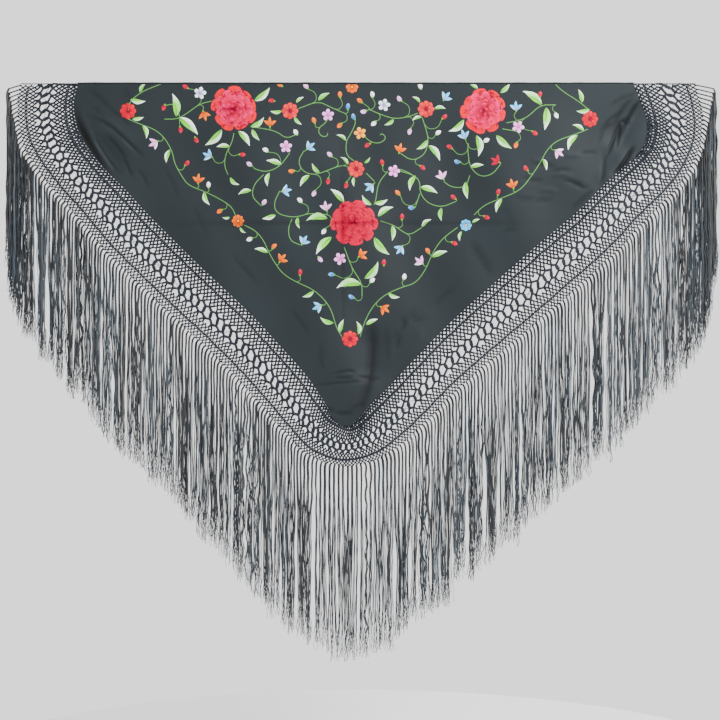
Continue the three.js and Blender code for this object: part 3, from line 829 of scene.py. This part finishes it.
# Painted shade: how much the floss's colours darken along the storage creases.
PAINTED_SHADE_AT_CREASE = 0.38
CRIMSON = (0.25, 0.0, 0.020)
RED = (0.48, 0.0, 0.030)
ROSE_PINK = (0.76, 0.0, 0.105)
ROSE_RED = (0.66, 0.0, 0.065)
SCARLET = (0.66, 0.001, 0.014)
CORAL = (0.76, 0.035, 0.030)
ORANGE = (0.80, 0.145, 0.0)
RUST = (0.42, 0.010, 0.0)
AMBER = (0.86, 0.20, 0.004)
YELLOW = (0.82, 0.42, 0.05)
WHITE = (0.87, 0.88, 0.88)
LILAC = (0.62, 0.09, 0.48)
PALE_LILAC = (0.80, 0.38, 0.76)
BLUE = (0.04, 0.22, 0.60)
PALE_BLUE = (0.06, 0.50, 0.80)
STEM_GREEN = (0.085, 0.235, 0.055)
DEEP_GREEN = (0.04, 0.18, 0.020)
GREEN = (0.10, 0.42, 0.02)
PALE_GREEN = (0.17, 0.62, 0.03)

floss = Finish("silk_floss", {"Specular IOR Level": 0.04})
# The floss colour held at the corners, with painted shade along the storage creases.
dye_and_crease_shade = floss.stored("dye_and_crease_shade", "Color")
stitch = floss.stored("stitch", "Vector")
streak = floss.noise(stitch, STREAK_GRAIN, 3.0, 0.6)
stitch_across = floss.tone("ShaderNodeSeparateXYZ", None, {0: stitch})
strand = (stitch_across * (2 * math.pi / FLOSS_WIDTH)).sum("SINE")
# Painted sheen: the floss colour is scaled lighter and darker by the streaks along the stitches.
dye_with_painted_sheen = {0: dye_and_crease_shade, "Scale": streak * 1.1 + 0.45}
floss.feed(floss.coat, {
    "Base Color": floss.tone("ShaderNodeVectorMath", {"operation": "SCALE"}, dye_with_painted_sheen),
    "Roughness": 0.34 + streak * 0.25,
    "Normal": floss.relief(strand * 0.5 + streak, FLOSS_RELIEF, 0.7),
})

floss_random = np.random.default_rng(23)


def mixed(first, second, share):
    """The colours or places a share of the way from the first to the second."""
    return np.array(first) * (1 - share) + np.array(second) * share


def facing(angles):
    """Steps of one (x, z) in the directions of the angles."""
    return np.stack([np.cos(angles), np.sin(angles)], -1)


def on_both_faces(x, z, height, dyes, stitches):
    """Grids of floss on the front of the cloth and again on its back. The height is from
    the cloth's surface, and each grid's rim is sunk into the cloth."""
    z = np.minimum(z, TOP_EDGE - BELOW_HEM)
    # Painted shade: the floss's colours are darkened along the storage creases.
    painted_crease_shade_on_floss = np.clip(ridges(x, z, STORAGE_CREASES) / (STORAGE_DEPTH * MM), 0, 1)[..., None]
    dyes = dyes * (1 - PAINTED_SHADE_AT_CREASE * painted_crease_shade_on_floss)
    rise = SHELL / 2 - EDGE_SUNK + height
    front = np.stack([x, stand_off(x, z) - rise, z], -1)
    back = np.stack([x, stand_off(x, z) + rise, z], -1)
    grids = int(np.prod(x.shape[:-2]))
    quads = grid_faces(*x.shape[-2:])
    each = np.arange(grids)[:, None, None] * (x.shape[-2] * x.shape[-1])
    front_faces = (quads + each).reshape(-1, 4)
    points = np.concatenate([front.reshape(-1, 3), back.reshape(-1, 3)])
    faces = [front_faces, front_faces[:, ::-1] + x.size]
    values = {
        "dye_and_crease_shade": np.tile(dyes.reshape(-1, 3), (2, 1)),
        "stitch": np.tile(stitches.reshape(-1, 3), (2, 1)),
    }
    return points, faces, values


def satin(base, tip, width, dyes, belly=0.5, blunt=0.7, bow=0.0, crown=0.7, rib=0.0, slope=0.0,
          pale_side=0.0, points_along=10, points_across=7):
    """Shapes filled with stitches, all worked out at once. With u from 0 at the base to 1
    at the tip and v from -1 to 1 across, half the width is sin(pi u^p)^blunt times half
    the greatest width, where p puts the greatest width at the belly. The middle line bows
    to one side by 4 u (1 - u) times the bow. The height falls to nothing at the rim, and a
    rib presses a groove along the middle. Dyes are three colours: at the base, in the
    middle and at the tip. A pale side turns one long half towards white."""
    count = len(base)
    u = np.linspace(0, 1, points_along)[None, :, None]
    v = np.linspace(-1, 1, points_across)[None, None, :]

    def each(value):
        return np.broadcast_to(np.asarray(value, float), (count,))[:, None, None]

    run = (tip - base)[:, None, None, :]
    length = np.linalg.norm(run, axis=-1)
    ahead = run / length[..., None]
    side = np.stack([-ahead[..., 1], ahead[..., 0]], -1)
    power = math.log(0.5) / np.log(each(belly))
    half = each(width) / 2 * np.sin(math.pi * u ** power).clip(0, 1) ** each(blunt)
    bend = each(bow) * length * 4 * u * (1 - u)
    flat = base[:, None, None, :] + run * u[..., None] + side * (half * v + bend)[..., None]
    dome = np.sqrt((1 - v ** 6) * (1 - (2 * u - 1) ** 8))
    groove = 1 - rib * np.exp(-((v / GROOVE_WIDTH) ** 2))
    height = (each(crown) * MM * groove + EDGE_SUNK) * dome
    first, second, third = (np.broadcast_to(d, (count, 3))[:, None, None, :] for d in dyes)
    low, high = smooth(2 * u)[..., None], smooth(2 * u - 1)[..., None]
    pale = (np.abs(each(pale_side)) * smooth(0.5 + 1.2 * np.sign(each(pale_side)) * v))[..., None]
    colour = mixed(mixed(mixed(first, second, low), third, high), WHITE, pale)
    across = (half * v + slope * (np.abs(v) * half - u * length)) / MM
    onward = u * length * STREAKS_ALONG + 0 * v
    apart = each(floss_random.uniform(0, STREAKS_SHIFT, count)) + 0 * across
    stitches = np.stack([across, onward, apart], -1)
    return on_both_faces(flat[..., 0], flat[..., 1], height, colour, stitches)


def needle_piece(name, parts):
    """One piece of embroidery from several sets of grids."""
    points, faces = joined([(p, f) for p, f, _ in parts])
    values = {key: np.concatenate([v[key] for _, _, v in parts]) for key in ("dye_and_crease_shade", "stitch")}
    return make_piece(name, points, faces, floss, "embroidery", values)


def rays(centres, angles, inner, outer):
    """Bases and tips of the petals that point away from each centre at its angles."""
    ends = [centres[:, None] + np.asarray(r)[..., None] * facing(angles) for r in (inner, outer)]
    return [end.reshape(-1, 2) for end in ends]


# Stems and leaves
# Narrow ribbons of pale green floss. The leaves are stitched slantwise from a midrib,
# darker down the middle and nearly white at the tips.
STEM_WIDTH = 2.4 * MM
STEM_RISE = 0.55 * MM
STALK_WIDTH = 0.75 * STEM_WIDTH
# How wide a leaf is, and how long and wide its midrib, as shares of the leaf's length.
LEAF_WIDTH = 0.34
MIDRIB_LENGTH, MIDRIB_WIDTH = 0.7, 0.09
# The stops that each stem passes, and the base and tip of each leaf, in centimetres.
VINES = (
    ((-49, 0), (-53, -1.5), (-55, -2.5), (-57.5, -4.5), (-58, -7)),
    ((-58, -9), (-54.5, -10.5), (-51.5, -11.5), (-49, -13.5), (-47, -17), (-46.5, -20),
     (-44.5, -23.5), (-43, -25.5), (-39, -27), (-35, -29), (-32, -31), (-31, -33.5)),
    ((-29, -35.5), (-26, -37), (-24, -39.5), (-23, -42), (-21, -45.5), (-19, -48),
     (-15.5, -50), (-12, -51.5), (-9, -54), (-7, -57), (-6, -61), (-4.5, -63.5)),
    ((48.5, 0), (50.5, -2), (54.5, -4.5), (57, -6.5)),
    ((57, -11.5), (53.5, -13), (49, -14.5), (46.5, -17), (45, -20), (43, -23), (40, -27),
     (35, -29), (31, -30.5), (28.5, -33)),
    ((24.5, -36), (21, -38.5), (19, -41), (17.5, -44), (16.5, -46.5), (14, -50), (10.5, -51),
     (6, -53), (3, -56), (1, -60), (0, -63.5)),
)
BRANCHES = (
    ((-49, -9), (-45.5, -9), (-42.5, -7), (-40, -5.2), (-37, -4.5)),
    ((-45, -9), (-45.6, -6.6), (-46.8, -5.2), (-48.6, -5.6)),
    ((-31.5, -12.5), (-32, -15), (-33.5, -17.5), (-34, -20.5), (-33, -23)),
    ((-27, -11), (-21, -12), (-18.5, -14), (-16, -13)),
    ((-15.5, -6.5), (-10.5, -4.5), (-7.5, -6), (-4, -7.5)),
    ((-7.9, -8.7), (-8.8, -10.2), (-10.2, -11.1), (-10.4, -12.5), (-9.4, -13.5), (-8.2, -13.3),
     (-8.1, -12.5)),
    ((-1.5, -8.5), (-1, -10), (-2.5, -13), (-3.5, -14.5), (-3.5, -18), (-1.5, -19.5)),
    ((0.6, -12.8), (2.6, -14.8), (5, -15.1), (6.6, -13.8), (5.6, -12.6), (5, -13)),
    ((-14, -17), (-15.5, -19.5), (-14.5, -22), (-12, -23), (-9.5, -22.5), (-6, -21), (-3.5, -20.5)),
    ((1.5, -22.5), (3.5, -24.5)),
    ((7, -22), (4.5, -25), (4, -29), (3.5, -30.5)),
    ((10, -21.5), (12.5, -22.5), (14.5, -24)),
    ((-20, -27), (-21.5, -30), (-21, -32.5), (-18, -33.5), (-15.5, -33.5), (-12.5, -32.5), (-8, -33)),
    ((-17, -34), (-18, -36.5), (-17.5, -39.5), (-15, -40.5)),
    ((-26.5, -21.5), (-23.5, -22.5), (-20, -21), (-17.5, -17.5)),
    ((-24, -23), (-26.5, -25.5), (-27, -28.5), (-25, -30.5)),
    ((-4, -41), (-2, -46.5), (0.5, -50), (0.5, -53.5)),
    ((5, -34.5), (8.5, -35.5), (10.5, -37), (12.5, -38), (15.5, -36)),
    ((2, -6.5), (5.5, -8), (8.5, -9), (12, -8.5), (14.5, -7.5)),
    ((15.5, -8.5), (17, -13), (17, -15.5), (16, -18), (13, -19.5), (10, -17.5)),
    ((27, -15), (27, -17.5), (27.5, -21), (30, -23.5), (33, -23), (35, -20.5)),
    ((21, -24.5), (23, -26), (26.5, -26), (27.5, -23)),
    ((10, -22), (13.5, -23), (15, -24.5), (15, -27.5), (17, -30), (20.5, -31), (24, -29.5)),
    ((15, -27.5), (14, -30.5)),
    ((49, -5.5), (45, -5.5), (42, -8.5), (39.5, -9.5), (36.5, -10)),
    ((35.5, -11.5), (38.5, -12)),
)
LEAVES = np.array([
    (-57.5, -4, -53.5, -4.5), (-55, -2.5, -53.5, 0), (-57, -9, -54, -8.5), (-54.5, -10.5, -53.5, -14),
    (-47.5, -16.5, -48.5, -20), (-39, -27, -37.5, -30.5), (-32.5, -33.5, -34.5, -33.5),
    (-30, -36, -28.5, -37.5), (-46, -8.5, -47, -2.5), (-45.5, -8.5, -40.5, -13),
    (-34.5, -11.5, -39, -15.5), (-30.5, -12, -27.5, -16), (-32.5, -16, -36, -16),
    (-32.5, -23.5, -30, -25.5), (-26.5, -4.5, -22.5, -1), (-27.5, -11, -24, -8.5),
    (-27, -11.5, -25, -14.5), (-19.5, -7, -22.5, -7), (-16, -5, -14, -3.5), (-16.5, -8.5, -14.5, -10.5),
    (-10.5, -4.5, -7.5, -2.5), (-3.5, -14.5, -6, -13), (-10, -22.5, -12, -20), (-12.5, -23, -15, -26),
    (-3, -20.5, -5, -18.5), (1, -20, 2.5, -18.5), (-1.5, -23.5, -1.5, -26), (-19.5, -20.5, -23.5, -19.5),
    (-22.5, -22.5, -23, -26), (-27, -27, -30.5, -28), (-4, -30, -7.5, -26.5), (-8, -34, -13.5, -34.5),
    (-7, -38.5, -11, -43), (4.5, -33.5, 8.5, -31), (3.5, -38.5, 7.5, -43), (3, -30.5, 0.5, -28),
    (3.5, -30, 7, -29), (-21, -33, -24.5, -34), (-15.5, -33.5, -15, -36.5), (8, -35.5, 8, -39.5),
    (-23, -42.5, -26.5, -41.5), (1, -49, 4.5, -44.5), (0.5, -50.5, -6, -51.5), (8.5, -9, 6, -10.5),
    (14, -23, 12.5, -27), (-11.5, -52, -14.5, -53.5), (-6.5, -60, -10, -58.5), (-5, -62.5, -4, -59),
    (-0.5, -63, -1, -59.5), (1.5, -60.5, 4.5, -59), (7, -52.5, 10, -53.5), (29.5, -1.5, 27, 0),
    (35, -2.5, 37.5, 0), (26, -9, 22, -12), (29, -13, 29.5, -18.5), (34, -13, 38, -16.5),
    (45.5, -5.5, 40.5, -2), (46.5, -6, 46, -12), (15, -5, 13, -3.5), (18.5, -6.5, 21.5, -6.5),
    (15.5, -8.5, 13, -9.5), (17, -14, 14, -16.5), (17, -15.5, 20, -19.5), (27.5, -21, 31, -20.5),
    (26.5, -24.5, 27, -29), (15, -26, 19.5, -27.5), (20.5, -31, 20.5, -34.5), (15.5, -36, 18, -34),
    (57.5, -6.5, 54, -7), (55.5, -5, 54.5, -1.5), (56, -12, 53, -10.5), (54.5, -13, 52, -17),
    (45.5, -19, 46.5, -22), (35.5, -29, 34, -32.5), (28, -35, 30, -34), (25.5, -37, 25, -39.5),
    (18, -43.5, 22, -42),
]) * CM


def flowing(stops):
    """A soft line along the stops: three times over, every corner is cut off at a quarter
    of the way along both of its sides."""
    line = np.array(stops, float) * CM
    for _ in range(3):
        cuts = np.stack([mixed(line[:-1], line[1:], share) for share in (0.25, 0.75)], 1)
        line = np.concatenate([line[:1], cuts.reshape(-1, 2), line[-1:]])
    return line


def ribbon(line, width, colour):
    """A narrow raised line of stitches that tapers over its last few points."""
    ahead = np.gradient(line, axis=0)
    ahead /= np.linalg.norm(ahead, axis=1, keepdims=True)
    side = np.stack([-ahead[:, 1], ahead[:, 0]], -1)
    v = np.linspace(-1, 1, 5)
    from_end = np.minimum(np.arange(len(line)), np.arange(len(line))[::-1])
    taper = np.sqrt(np.clip((from_end + 0.3) / 3, 0, 1))[:, None]
    flat = line[:, None] + side[:, None] * (width / 2 * taper * v)[..., None]
    height = (STEM_RISE + EDGE_SUNK) * np.sqrt((1 - v ** 4) * np.clip(from_end, 0, 1)[:, None])
    reach_along = np.concatenate([[0], np.cumsum(np.linalg.norm(np.diff(line, axis=0), axis=1))])
    across = reach_along[:, None] / MM + v * FLOSS_WIDTH
    stitches = np.stack([across, 0 * across, 0 * across], -1)
    colours = np.broadcast_to(colour, (*height.shape, 3))
    return on_both_faces(flat[None, ..., 0], flat[None, ..., 1], height[None], colours, stitches)


stem_lines = [flowing(stops) for stops in VINES + BRANCHES]
leaf_base, leaf_tip = LEAVES[:, :2], LEAVES[:, 2:]
leaf_length = np.linalg.norm(leaf_tip - leaf_base, axis=1)
leaf_bow = floss_random.choice([-1, 1], len(LEAVES)) * floss_random.uniform(0.06, 0.18, len(LEAVES))
leaf_side = np.sign(leaf_bow) * floss_random.uniform(0.1, 0.7, len(LEAVES))
leaf_pale = floss_random.uniform(0, 1, (len(LEAVES), 1))
leaf_dyes = (
    mixed(GREEN, PALE_GREEN, 0.6 * leaf_pale),
    mixed(GREEN, PALE_GREEN, 0.3 + 0.7 * leaf_pale),
    mixed(PALE_GREEN, WHITE, 0.15 + 0.85 * leaf_pale),
)
rib_tip = mixed(leaf_base, leaf_tip, MIDRIB_LENGTH)
leaf_parts = [
    satin(leaf_base, leaf_tip, LEAF_WIDTH * leaf_length, leaf_dyes, belly=0.42, blunt=1.2,
          bow=leaf_bow, rib=0.6, slope=0.8, pale_side=leaf_side),
    satin(leaf_base, rib_tip, MIDRIB_WIDTH * leaf_length, (DEEP_GREEN, GREEN, GREEN), belly=0.4,
          blunt=0.8, bow=leaf_bow * 0.8, crown=0.8),
]
needle_piece("embroidered_leaves", leaf_parts)

# Buds and small flowers
# Buds and lilies on short stalks, each growing away from the stem nearest to it, and
# round and starry flowers with a small raised button in the middle.
BUD_LENGTH, BUD_WIDTH = 1.8 * CM, 1.2 * CM
BUD_BACK, LILY_BACK = 0.8 * CM, 1.1 * CM
# The petals of a lily: angle in degrees, bow and length in centimetres.
LILY_PETALS = ((44, -0.12, 2.3), (-44, 0.12, 2.3), (0, 0.04, 2.7))
LILY_PETAL_WIDTH = 0.95 * CM
# The two rings of petals in a round flower: how many, size as a share of the radius, turn,
# width as a share of the size, and height in millimetres.
ROUND_RINGS = ((8, 1.0, 0.0, 0.66, 0.6), (6, 0.62, 0.4, 0.62, 0.9))
STAR_PETALS = 5
STAR_RADIUS, STAR_PETAL_WIDTH = 1.6 * CM, 1.15 * CM
ROUND_BUTTON, STAR_BUTTON = 0.3 * CM, 0.28 * CM
SEPAL_LENGTH = 0.5 * CM
# Between these distances from the nearest stem a bud or lily has a stalk, which bends at
# two places: shares of the way to its heel, and of its span along the stem.
STALK_FROM_BUD, STALK_FROM_LILY, LONGEST_STALK = 0.9 * CM, 1.2 * CM, 6 * CM
STALK_BENDS = ((0.1, 0.38), (0.65, 0.44))
# The dyes of each kind, then where it grows. A lily's number is how pale one half is, and
# a round flower's is its radius in centimetres.
BUDS = (
    (RED, ((-43.5, -1), (-49, -6), (-45, -11.5), (-41, -14), (-43.5, -20), (-29.5, -18), (-22, -4.5),
           (2, -15.5), (-8, -24.5), (-3.5, -25.5), (5.5, -20), (10.5, -33.5), (6, -45), (-15, -47.5),
           (21, -8.5), (22.5, -16), (45, -3), (43.5, -12.5), (15.5, -21), (23.5, -28.5),
           (41.5, -21.5), (34.5, -27.5), (31.5, -33.5), (23.5, -40))),
    (WHITE, ((-38, -25.5), (-16, -12.5), (-23.5, -17), (3.5, -10), (3, -3), (-15, -29.5), (-9, -37),
             (-27.5, -39), (3, -49.5), (11, -48.5), (15, -1), (19.5, -12.5), (31.5, -14.5), (49, -8))),
    (PALE_LILAC, ((-13.5, -1), (1, -7), (10, -4), (-27.5, -20.5), (-24, -30), (-11.5, -27.5),
             (-7.5, -18), (-10, -44), (12.5, -12))),
    (ORANGE, ((-35, -32), (-20, -0.5), (-11.5, -9.5), (-5, -10.5), (0, -4.5), (-5, -3), (-17, -22),
              (-21.5, -41), (9.5, -27.5), (39, -15.5), (17, -42))),
    (BLUE, ((-3, -6), (-1.5, -8.5), (-7, -48), (-2, -53.5), (13, -31), (24.5, -19.5))),
)
LILIES = (
    (LILAC, PALE_LILAC, 0.7, ((-51.5, -15), (-8.5, -31), (20.5, -23), (49.5, -17.5), (15, -44.5))),
    (RUST, AMBER, 0.0, ((-40.5, -24), (-39, -8), (-22.5, -10), (-19.5, -44), (0.5, -43),
                        (10, -16.5), (38, -25.5), (6, -56.5))),
    (CRIMSON, RED, 0.0, ((34, -19.5),)),
    (BLUE, PALE_BLUE, 0.5, ((-38, -18), (-12.5, -16), (-18.5, -27), (-14, -39.5), (2.5, -26),
                            (10, -41.5), (21.5, -3.5), (39, -6), (26, -13), (-10.5, -56))),
)
ROUND_FLOWERS = (
    (CRIMSON, SCARLET, 2.1, ((-58, -7), (57.5, -9), (-2.5, -64))),
    (CRIMSON, CORAL, 2.15, ((-17.5, -7), (16.5, -6.5), (-1, -21.5))),
    (RUST, ORANGE, 1.6, ((-30.5, -34.5), (-2, -1))),
    (BLUE, PALE_BLUE, 1.5, ((26.5, -35.5),)),
)
STARS = (
    (LILAC, PALE_LILAC, ((-8, -8), (-18.5, -16), (8.5, -22), (-5, -44), (39.5, -11))),
    (BLUE, WHITE, ((6, -5.5), (-40, -2.5))),
    (ORANGE, YELLOW, ((0, -12.5),)),
)

stem_points = np.concatenate(stem_lines)
stem_ways = np.concatenate([np.gradient(line, axis=0) for line in stem_lines])
stem_ways /= np.linalg.norm(stem_ways, axis=1, keepdims=True)
flower_parts, stalks = [], []


def grown(places, curl, back, stalk_from):
    """The heels of flowers at these places, and the directions in which they point: away
    from the nearest point of any stem, curled back by a share of the stem's own way. A heel
    lies back from its place. Each flower that is neither too near its stem nor too far from
    it gets a stalk, kept as its start, the heel and the stem's way at the start."""
    places = np.array(places, float) * CM
    gap = places[:, None] - stem_points
    nearest = np.linalg.norm(gap, axis=-1).argmin(axis=1)
    away = gap[np.arange(len(places)), nearest]
    far = np.maximum(np.linalg.norm(away, axis=1, keepdims=True), 1e-6)
    way = stem_ways[nearest]
    ahead = away / far - curl * way
    ahead /= np.linalg.norm(ahead, axis=1, keepdims=True)
    heel = places - ahead * back
    for k in np.flatnonzero((far[:, 0] > stalk_from) & (far[:, 0] < LONGEST_STALK)):
        stalks.append((stem_points[nearest[k]], heel[k], way[k]))
    return heel, ahead


def turned(directions, degrees):
    """The angles of the directions, turned by each of the given degrees."""
    angle = np.arctan2(directions[:, 1], directions[:, 0])[:, None]
    return angle + np.radians(np.asarray(degrees, float))[None]


def small(base, tip, width, dyes, **shape):
    """Small shapes filled with stitches, with fewer points than large ones."""
    return satin(base, tip, width, dyes, points_along=8, points_across=5, **shape)


def sepals(heel, angles, start, width, belly):
    """The green cup under a bud or a lily: narrow leaves from the start, past the heel."""
    base, tip = rays(heel, angles, start, SEPAL_LENGTH)
    return small(base, tip, width, (STEM_GREEN, GREEN, GREEN), belly=belly, blunt=0.8, crown=1.1)


def button(places, radius, colour, crown):
    """The round middle of a flower."""
    base, tip = places - (radius, 0), places + (radius, 0)
    return small(base, tip, 2 * radius, (colour, colour, colour), blunt=0.5, crown=crown)


for colour, places in BUDS:
    heel, ahead = grown(places, 0.5, BUD_BACK, STALK_FROM_BUD)
    tip_white = 0.03 if colour in (RED, ORANGE) else 0.25
    dyes = (np.array(colour) * 0.55, np.array(colour) * 0.85, mixed(colour, WHITE, tip_white))
    base, tip = rays(heel, turned(ahead, [0]), 0.05 * CM, BUD_LENGTH)
    bow = floss_random.uniform(-0.1, 0.1, len(base))
    flower_parts.append(small(base, tip, BUD_WIDTH, dyes, bow=bow, crown=0.8))
    flower_parts.append(sepals(heel, turned(ahead, [-28, 28]), -0.1 * CM, 0.28 * CM, 0.4))

for inner_dye, outer_dye, pale_half, places in LILIES:
    heel, ahead = grown(places, 0.25, LILY_BACK, STALK_FROM_LILY)
    dyes = (inner_dye, mixed(inner_dye, outer_dye, 0.5), outer_dye)
    for degrees, bow, size in LILY_PETALS:
        base, tip = rays(heel, turned(ahead, [degrees]), 0.1 * CM, size * CM)
        pale_side = pale_half if degrees > 0 else -0.4 * pale_half
        flower_parts.append(small(base, tip, LILY_PETAL_WIDTH, dyes, belly=0.52, blunt=1.05, bow=bow,
                                  crown=0.5 + 0.12 * size, pale_side=pale_side))
    flower_parts.append(sepals(heel, turned(ahead, [0]), -0.25 * CM, 0.42 * CM, 0.45))

for inner_dye, outer_dye, radius, places in ROUND_FLOWERS:
    places = np.array(places, float) * CM
    for count, size, turn, width, crown in ROUND_RINGS:
        angles = turn + 2 * math.pi * np.arange(count) / count + np.zeros((len(places), 1))
        petal = size * radius * CM
        base, tip = rays(places, angles, 0.12 * radius * CM, petal)
        edge_dye = outer_dye * floss_random.uniform(0.7, 1.1, (len(base), 1))
        dyes = (inner_dye, mixed(inner_dye, edge_dye, 0.6), edge_dye)
        flower_parts.append(small(base, tip, width * petal, dyes, belly=0.7, blunt=0.5, crown=crown))
    button_dye = CRIMSON if inner_dye == CRIMSON else YELLOW
    flower_parts.append(button(places, ROUND_BUTTON, button_dye, 1.2))

for inner_dye, outer_dye, places in STARS:
    places = np.array(places, float) * CM
    angles = floss_random.uniform(0, 6, (len(places), 1))
    angles = angles + 2 * math.pi * np.arange(STAR_PETALS) / STAR_PETALS
    base, tip = rays(places, angles, 0.1 * CM, STAR_RADIUS)
    dyes = (inner_dye, mixed(inner_dye, outer_dye, 0.7), outer_dye)
    flower_parts.append(small(base, tip, STAR_PETAL_WIDTH, dyes, belly=0.6, blunt=0.6))
    button_dye = SCARLET if inner_dye == ORANGE else LILAC
    flower_parts.append(button(places, STAR_BUTTON, button_dye, 1.1))

needle_piece("embroidered_small_flowers", flower_parts)
stem_parts = [ribbon(line, STEM_WIDTH, STEM_GREEN) for line in stem_lines]
for start, heel, way in stalks:
    span = np.linalg.norm(heel - start)
    bends = [mixed(start, heel, share) + out * span * way for share, out in STALK_BENDS]
    stalk = flowing(np.array([start, *bends, heel]) / CM)
    stem_parts.append(ribbon(stalk, STALK_WIDTH, STEM_GREEN))
needle_piece("embroidered_stems", stem_parts)

# The roses
# Three full-blown roses, 12 cm across, worked from the outside in: rings of rounded
# petals in rose pink and reds, dark at their roots, and short crimson strokes for folds.
ROSES = np.array([(-31.5, -6.5), (31, -7), (-1.5, -35)]) * CM
ROSE_RADIUS = 6.0 * CM
ROSE_TURNS = np.array([0.2, 1.1, 0.55])
RING_TURN = 0.37
PETAL_UNEVEN = 0.12
ROSE_FOLDS = 40
FOLD_WIDTH = 2.6 * MM
# Each ring of petals: how many, from where to where and how wide (shares of the radius),
# belly, bluntness and height in millimetres.
ROSE_RINGS = (
    (9, 0.32, 1.00, 0.62, 0.70, 0.45, 0.4),
    (9, 0.22, 0.84, 0.50, 0.70, 0.45, 0.6),
    (9, 0.14, 0.68, 0.40, 0.68, 0.50, 0.8),
    (8, 0.08, 0.52, 0.32, 0.66, 0.50, 1.0),
    (6, 0.03, 0.36, 0.26, 0.65, 0.50, 1.2),
    (3, 0.00, 0.20, 0.18, 0.60, 0.60, 1.4),
)
# For each rose, the dye of its outermost petals and the two that the others take.
ROSE_TINTS = np.array([
    (SCARLET, ROSE_PINK, ROSE_RED), (SCARLET, ROSE_PINK, ROSE_RED), (RED, RED, RED),
])
rose_parts = []
for ring, (count, inner, outer, width, belly, blunt, crown) in enumerate(ROSE_RINGS):
    turn = ROSE_TURNS[:, None] + ring * RING_TURN + 2 * math.pi * np.arange(count) / count
    turn = turn + floss_random.uniform(-PETAL_UNEVEN, PETAL_UNEVEN, turn.shape)
    reach_out = ROSE_RADIUS * outer * floss_random.uniform(0.92, 1.05, turn.shape)
    base, tip = rays(ROSES, turn, inner * ROSE_RADIUS, reach_out)
    which = floss_random.integers(1, 3, turn.shape) * (ring > 0)
    edge_dye = ROSE_TINTS[np.arange(len(ROSES))[:, None], which].reshape(-1, 3)
    shade = floss_random.uniform(0.6, 1.0, (len(base), 1)) * (1 - 0.06 * ring)
    dyes = (CRIMSON * shade, mixed(edge_dye, RED, 0.5) * shade, edge_dye)
    wide = width * ROSE_RADIUS * floss_random.uniform(0.9, 1.12, len(base))
    bow = floss_random.uniform(-PETAL_UNEVEN, PETAL_UNEVEN, len(base))
    rose_parts.append(satin(base, tip, wide, dyes, belly, blunt, bow, crown))
fold_angle = floss_random.uniform(0, 2 * math.pi, (len(ROSES), ROSE_FOLDS))
fold_at = ROSE_RADIUS * np.sqrt(floss_random.uniform(0.03, 0.8, fold_angle.shape))
fold_mid = (ROSES[:, None] + fold_at[..., None] * facing(fold_angle)).reshape(-1, 2)
fold_way = fold_angle + math.pi / 2 + floss_random.uniform(-0.7, 0.7, fold_angle.shape)
fold_half = ROSE_RADIUS * floss_random.uniform(0.06, 0.14, len(fold_mid))[:, None]
fold_run = fold_half * facing(fold_way.reshape(-1))
rose_parts.append(satin(fold_mid - fold_run, fold_mid + fold_run, FOLD_WIDTH,
                        (CRIMSON, CRIMSON, CRIMSON), blunt=0.8, bow=0.25, crown=1.6))
needle_piece("embroidered_roses", rose_parts)

# Studio
# A plain pale floor well under the fringe and soft, even light from the front.
FLOOR_Z = -1.74
FLOOR_RADIUS = 1.15
FLOOR_SIDES = 96
FLOOR_DARK, FLOOR_LIGHT = (0.64, 0.64, 0.64), (0.68, 0.68, 0.68)
FLOOR_CLOUDS = 3.0
LAMPS_AIM_AT = np.array([0.0, 0.0, -0.6])
# Name, place, power in watts and side in metres.
LAMPS = (
    ("key", (2.4, -2.2, 1.3), 320, 1.2),
    ("fill", (-2.8, -3.0, 0.2), 40, 2.4),
    ("back", (0.4, 3.2, 1.0), 120, 2.4),
)
DAYLIGHT = 1.6

floor_ring = FLOOR_RADIUS * facing(2 * math.pi * np.arange(FLOOR_SIDES) / FLOOR_SIDES)
floor_points = np.column_stack([floor_ring, np.full(FLOOR_SIDES, FLOOR_Z)])
floor_mesh = bpy.data.meshes.new("floor")
floor_mesh.from_pydata(floor_points.tolist(), [], [list(range(FLOOR_SIDES))])
floor = bpy.data.objects.new("floor", floor_mesh)
bpy.context.scene.collection.objects.link(floor)
paint = Finish("pale_floor", {"Roughness": 0.9})
floor_clouds = paint.noise(paint.place(), FLOOR_CLOUDS)
paint.feed(paint.coat, {"Base Color": paint.blend(floor_clouds, FLOOR_DARK, FLOOR_LIGHT)})
floor_mesh.materials.append(paint.material)

for name, place, power, size in LAMPS:
    lamp_data = bpy.data.lights.new(name, "AREA")
    lamp_data.energy = power
    lamp_data.size = size
    lamp = bpy.data.objects.new(name, lamp_data)
    lamp.location = place
    aim = LAMPS_AIM_AT - place
    tilt = math.atan2(math.hypot(aim[0], aim[1]), -aim[2])
    lamp.rotation_euler = (tilt, 0, math.atan2(-aim[0], aim[1]))
    bpy.context.scene.collection.objects.link(lamp)

world = bpy.data.worlds.new("studio")
world.use_nodes = True
backdrop = world.node_tree.nodes["Background"]
backdrop.inputs["Color"].default_value = (1, 1, 1, 1)
backdrop.inputs["Strength"].default_value = DAYLIGHT
bpy.context.scene.world = world
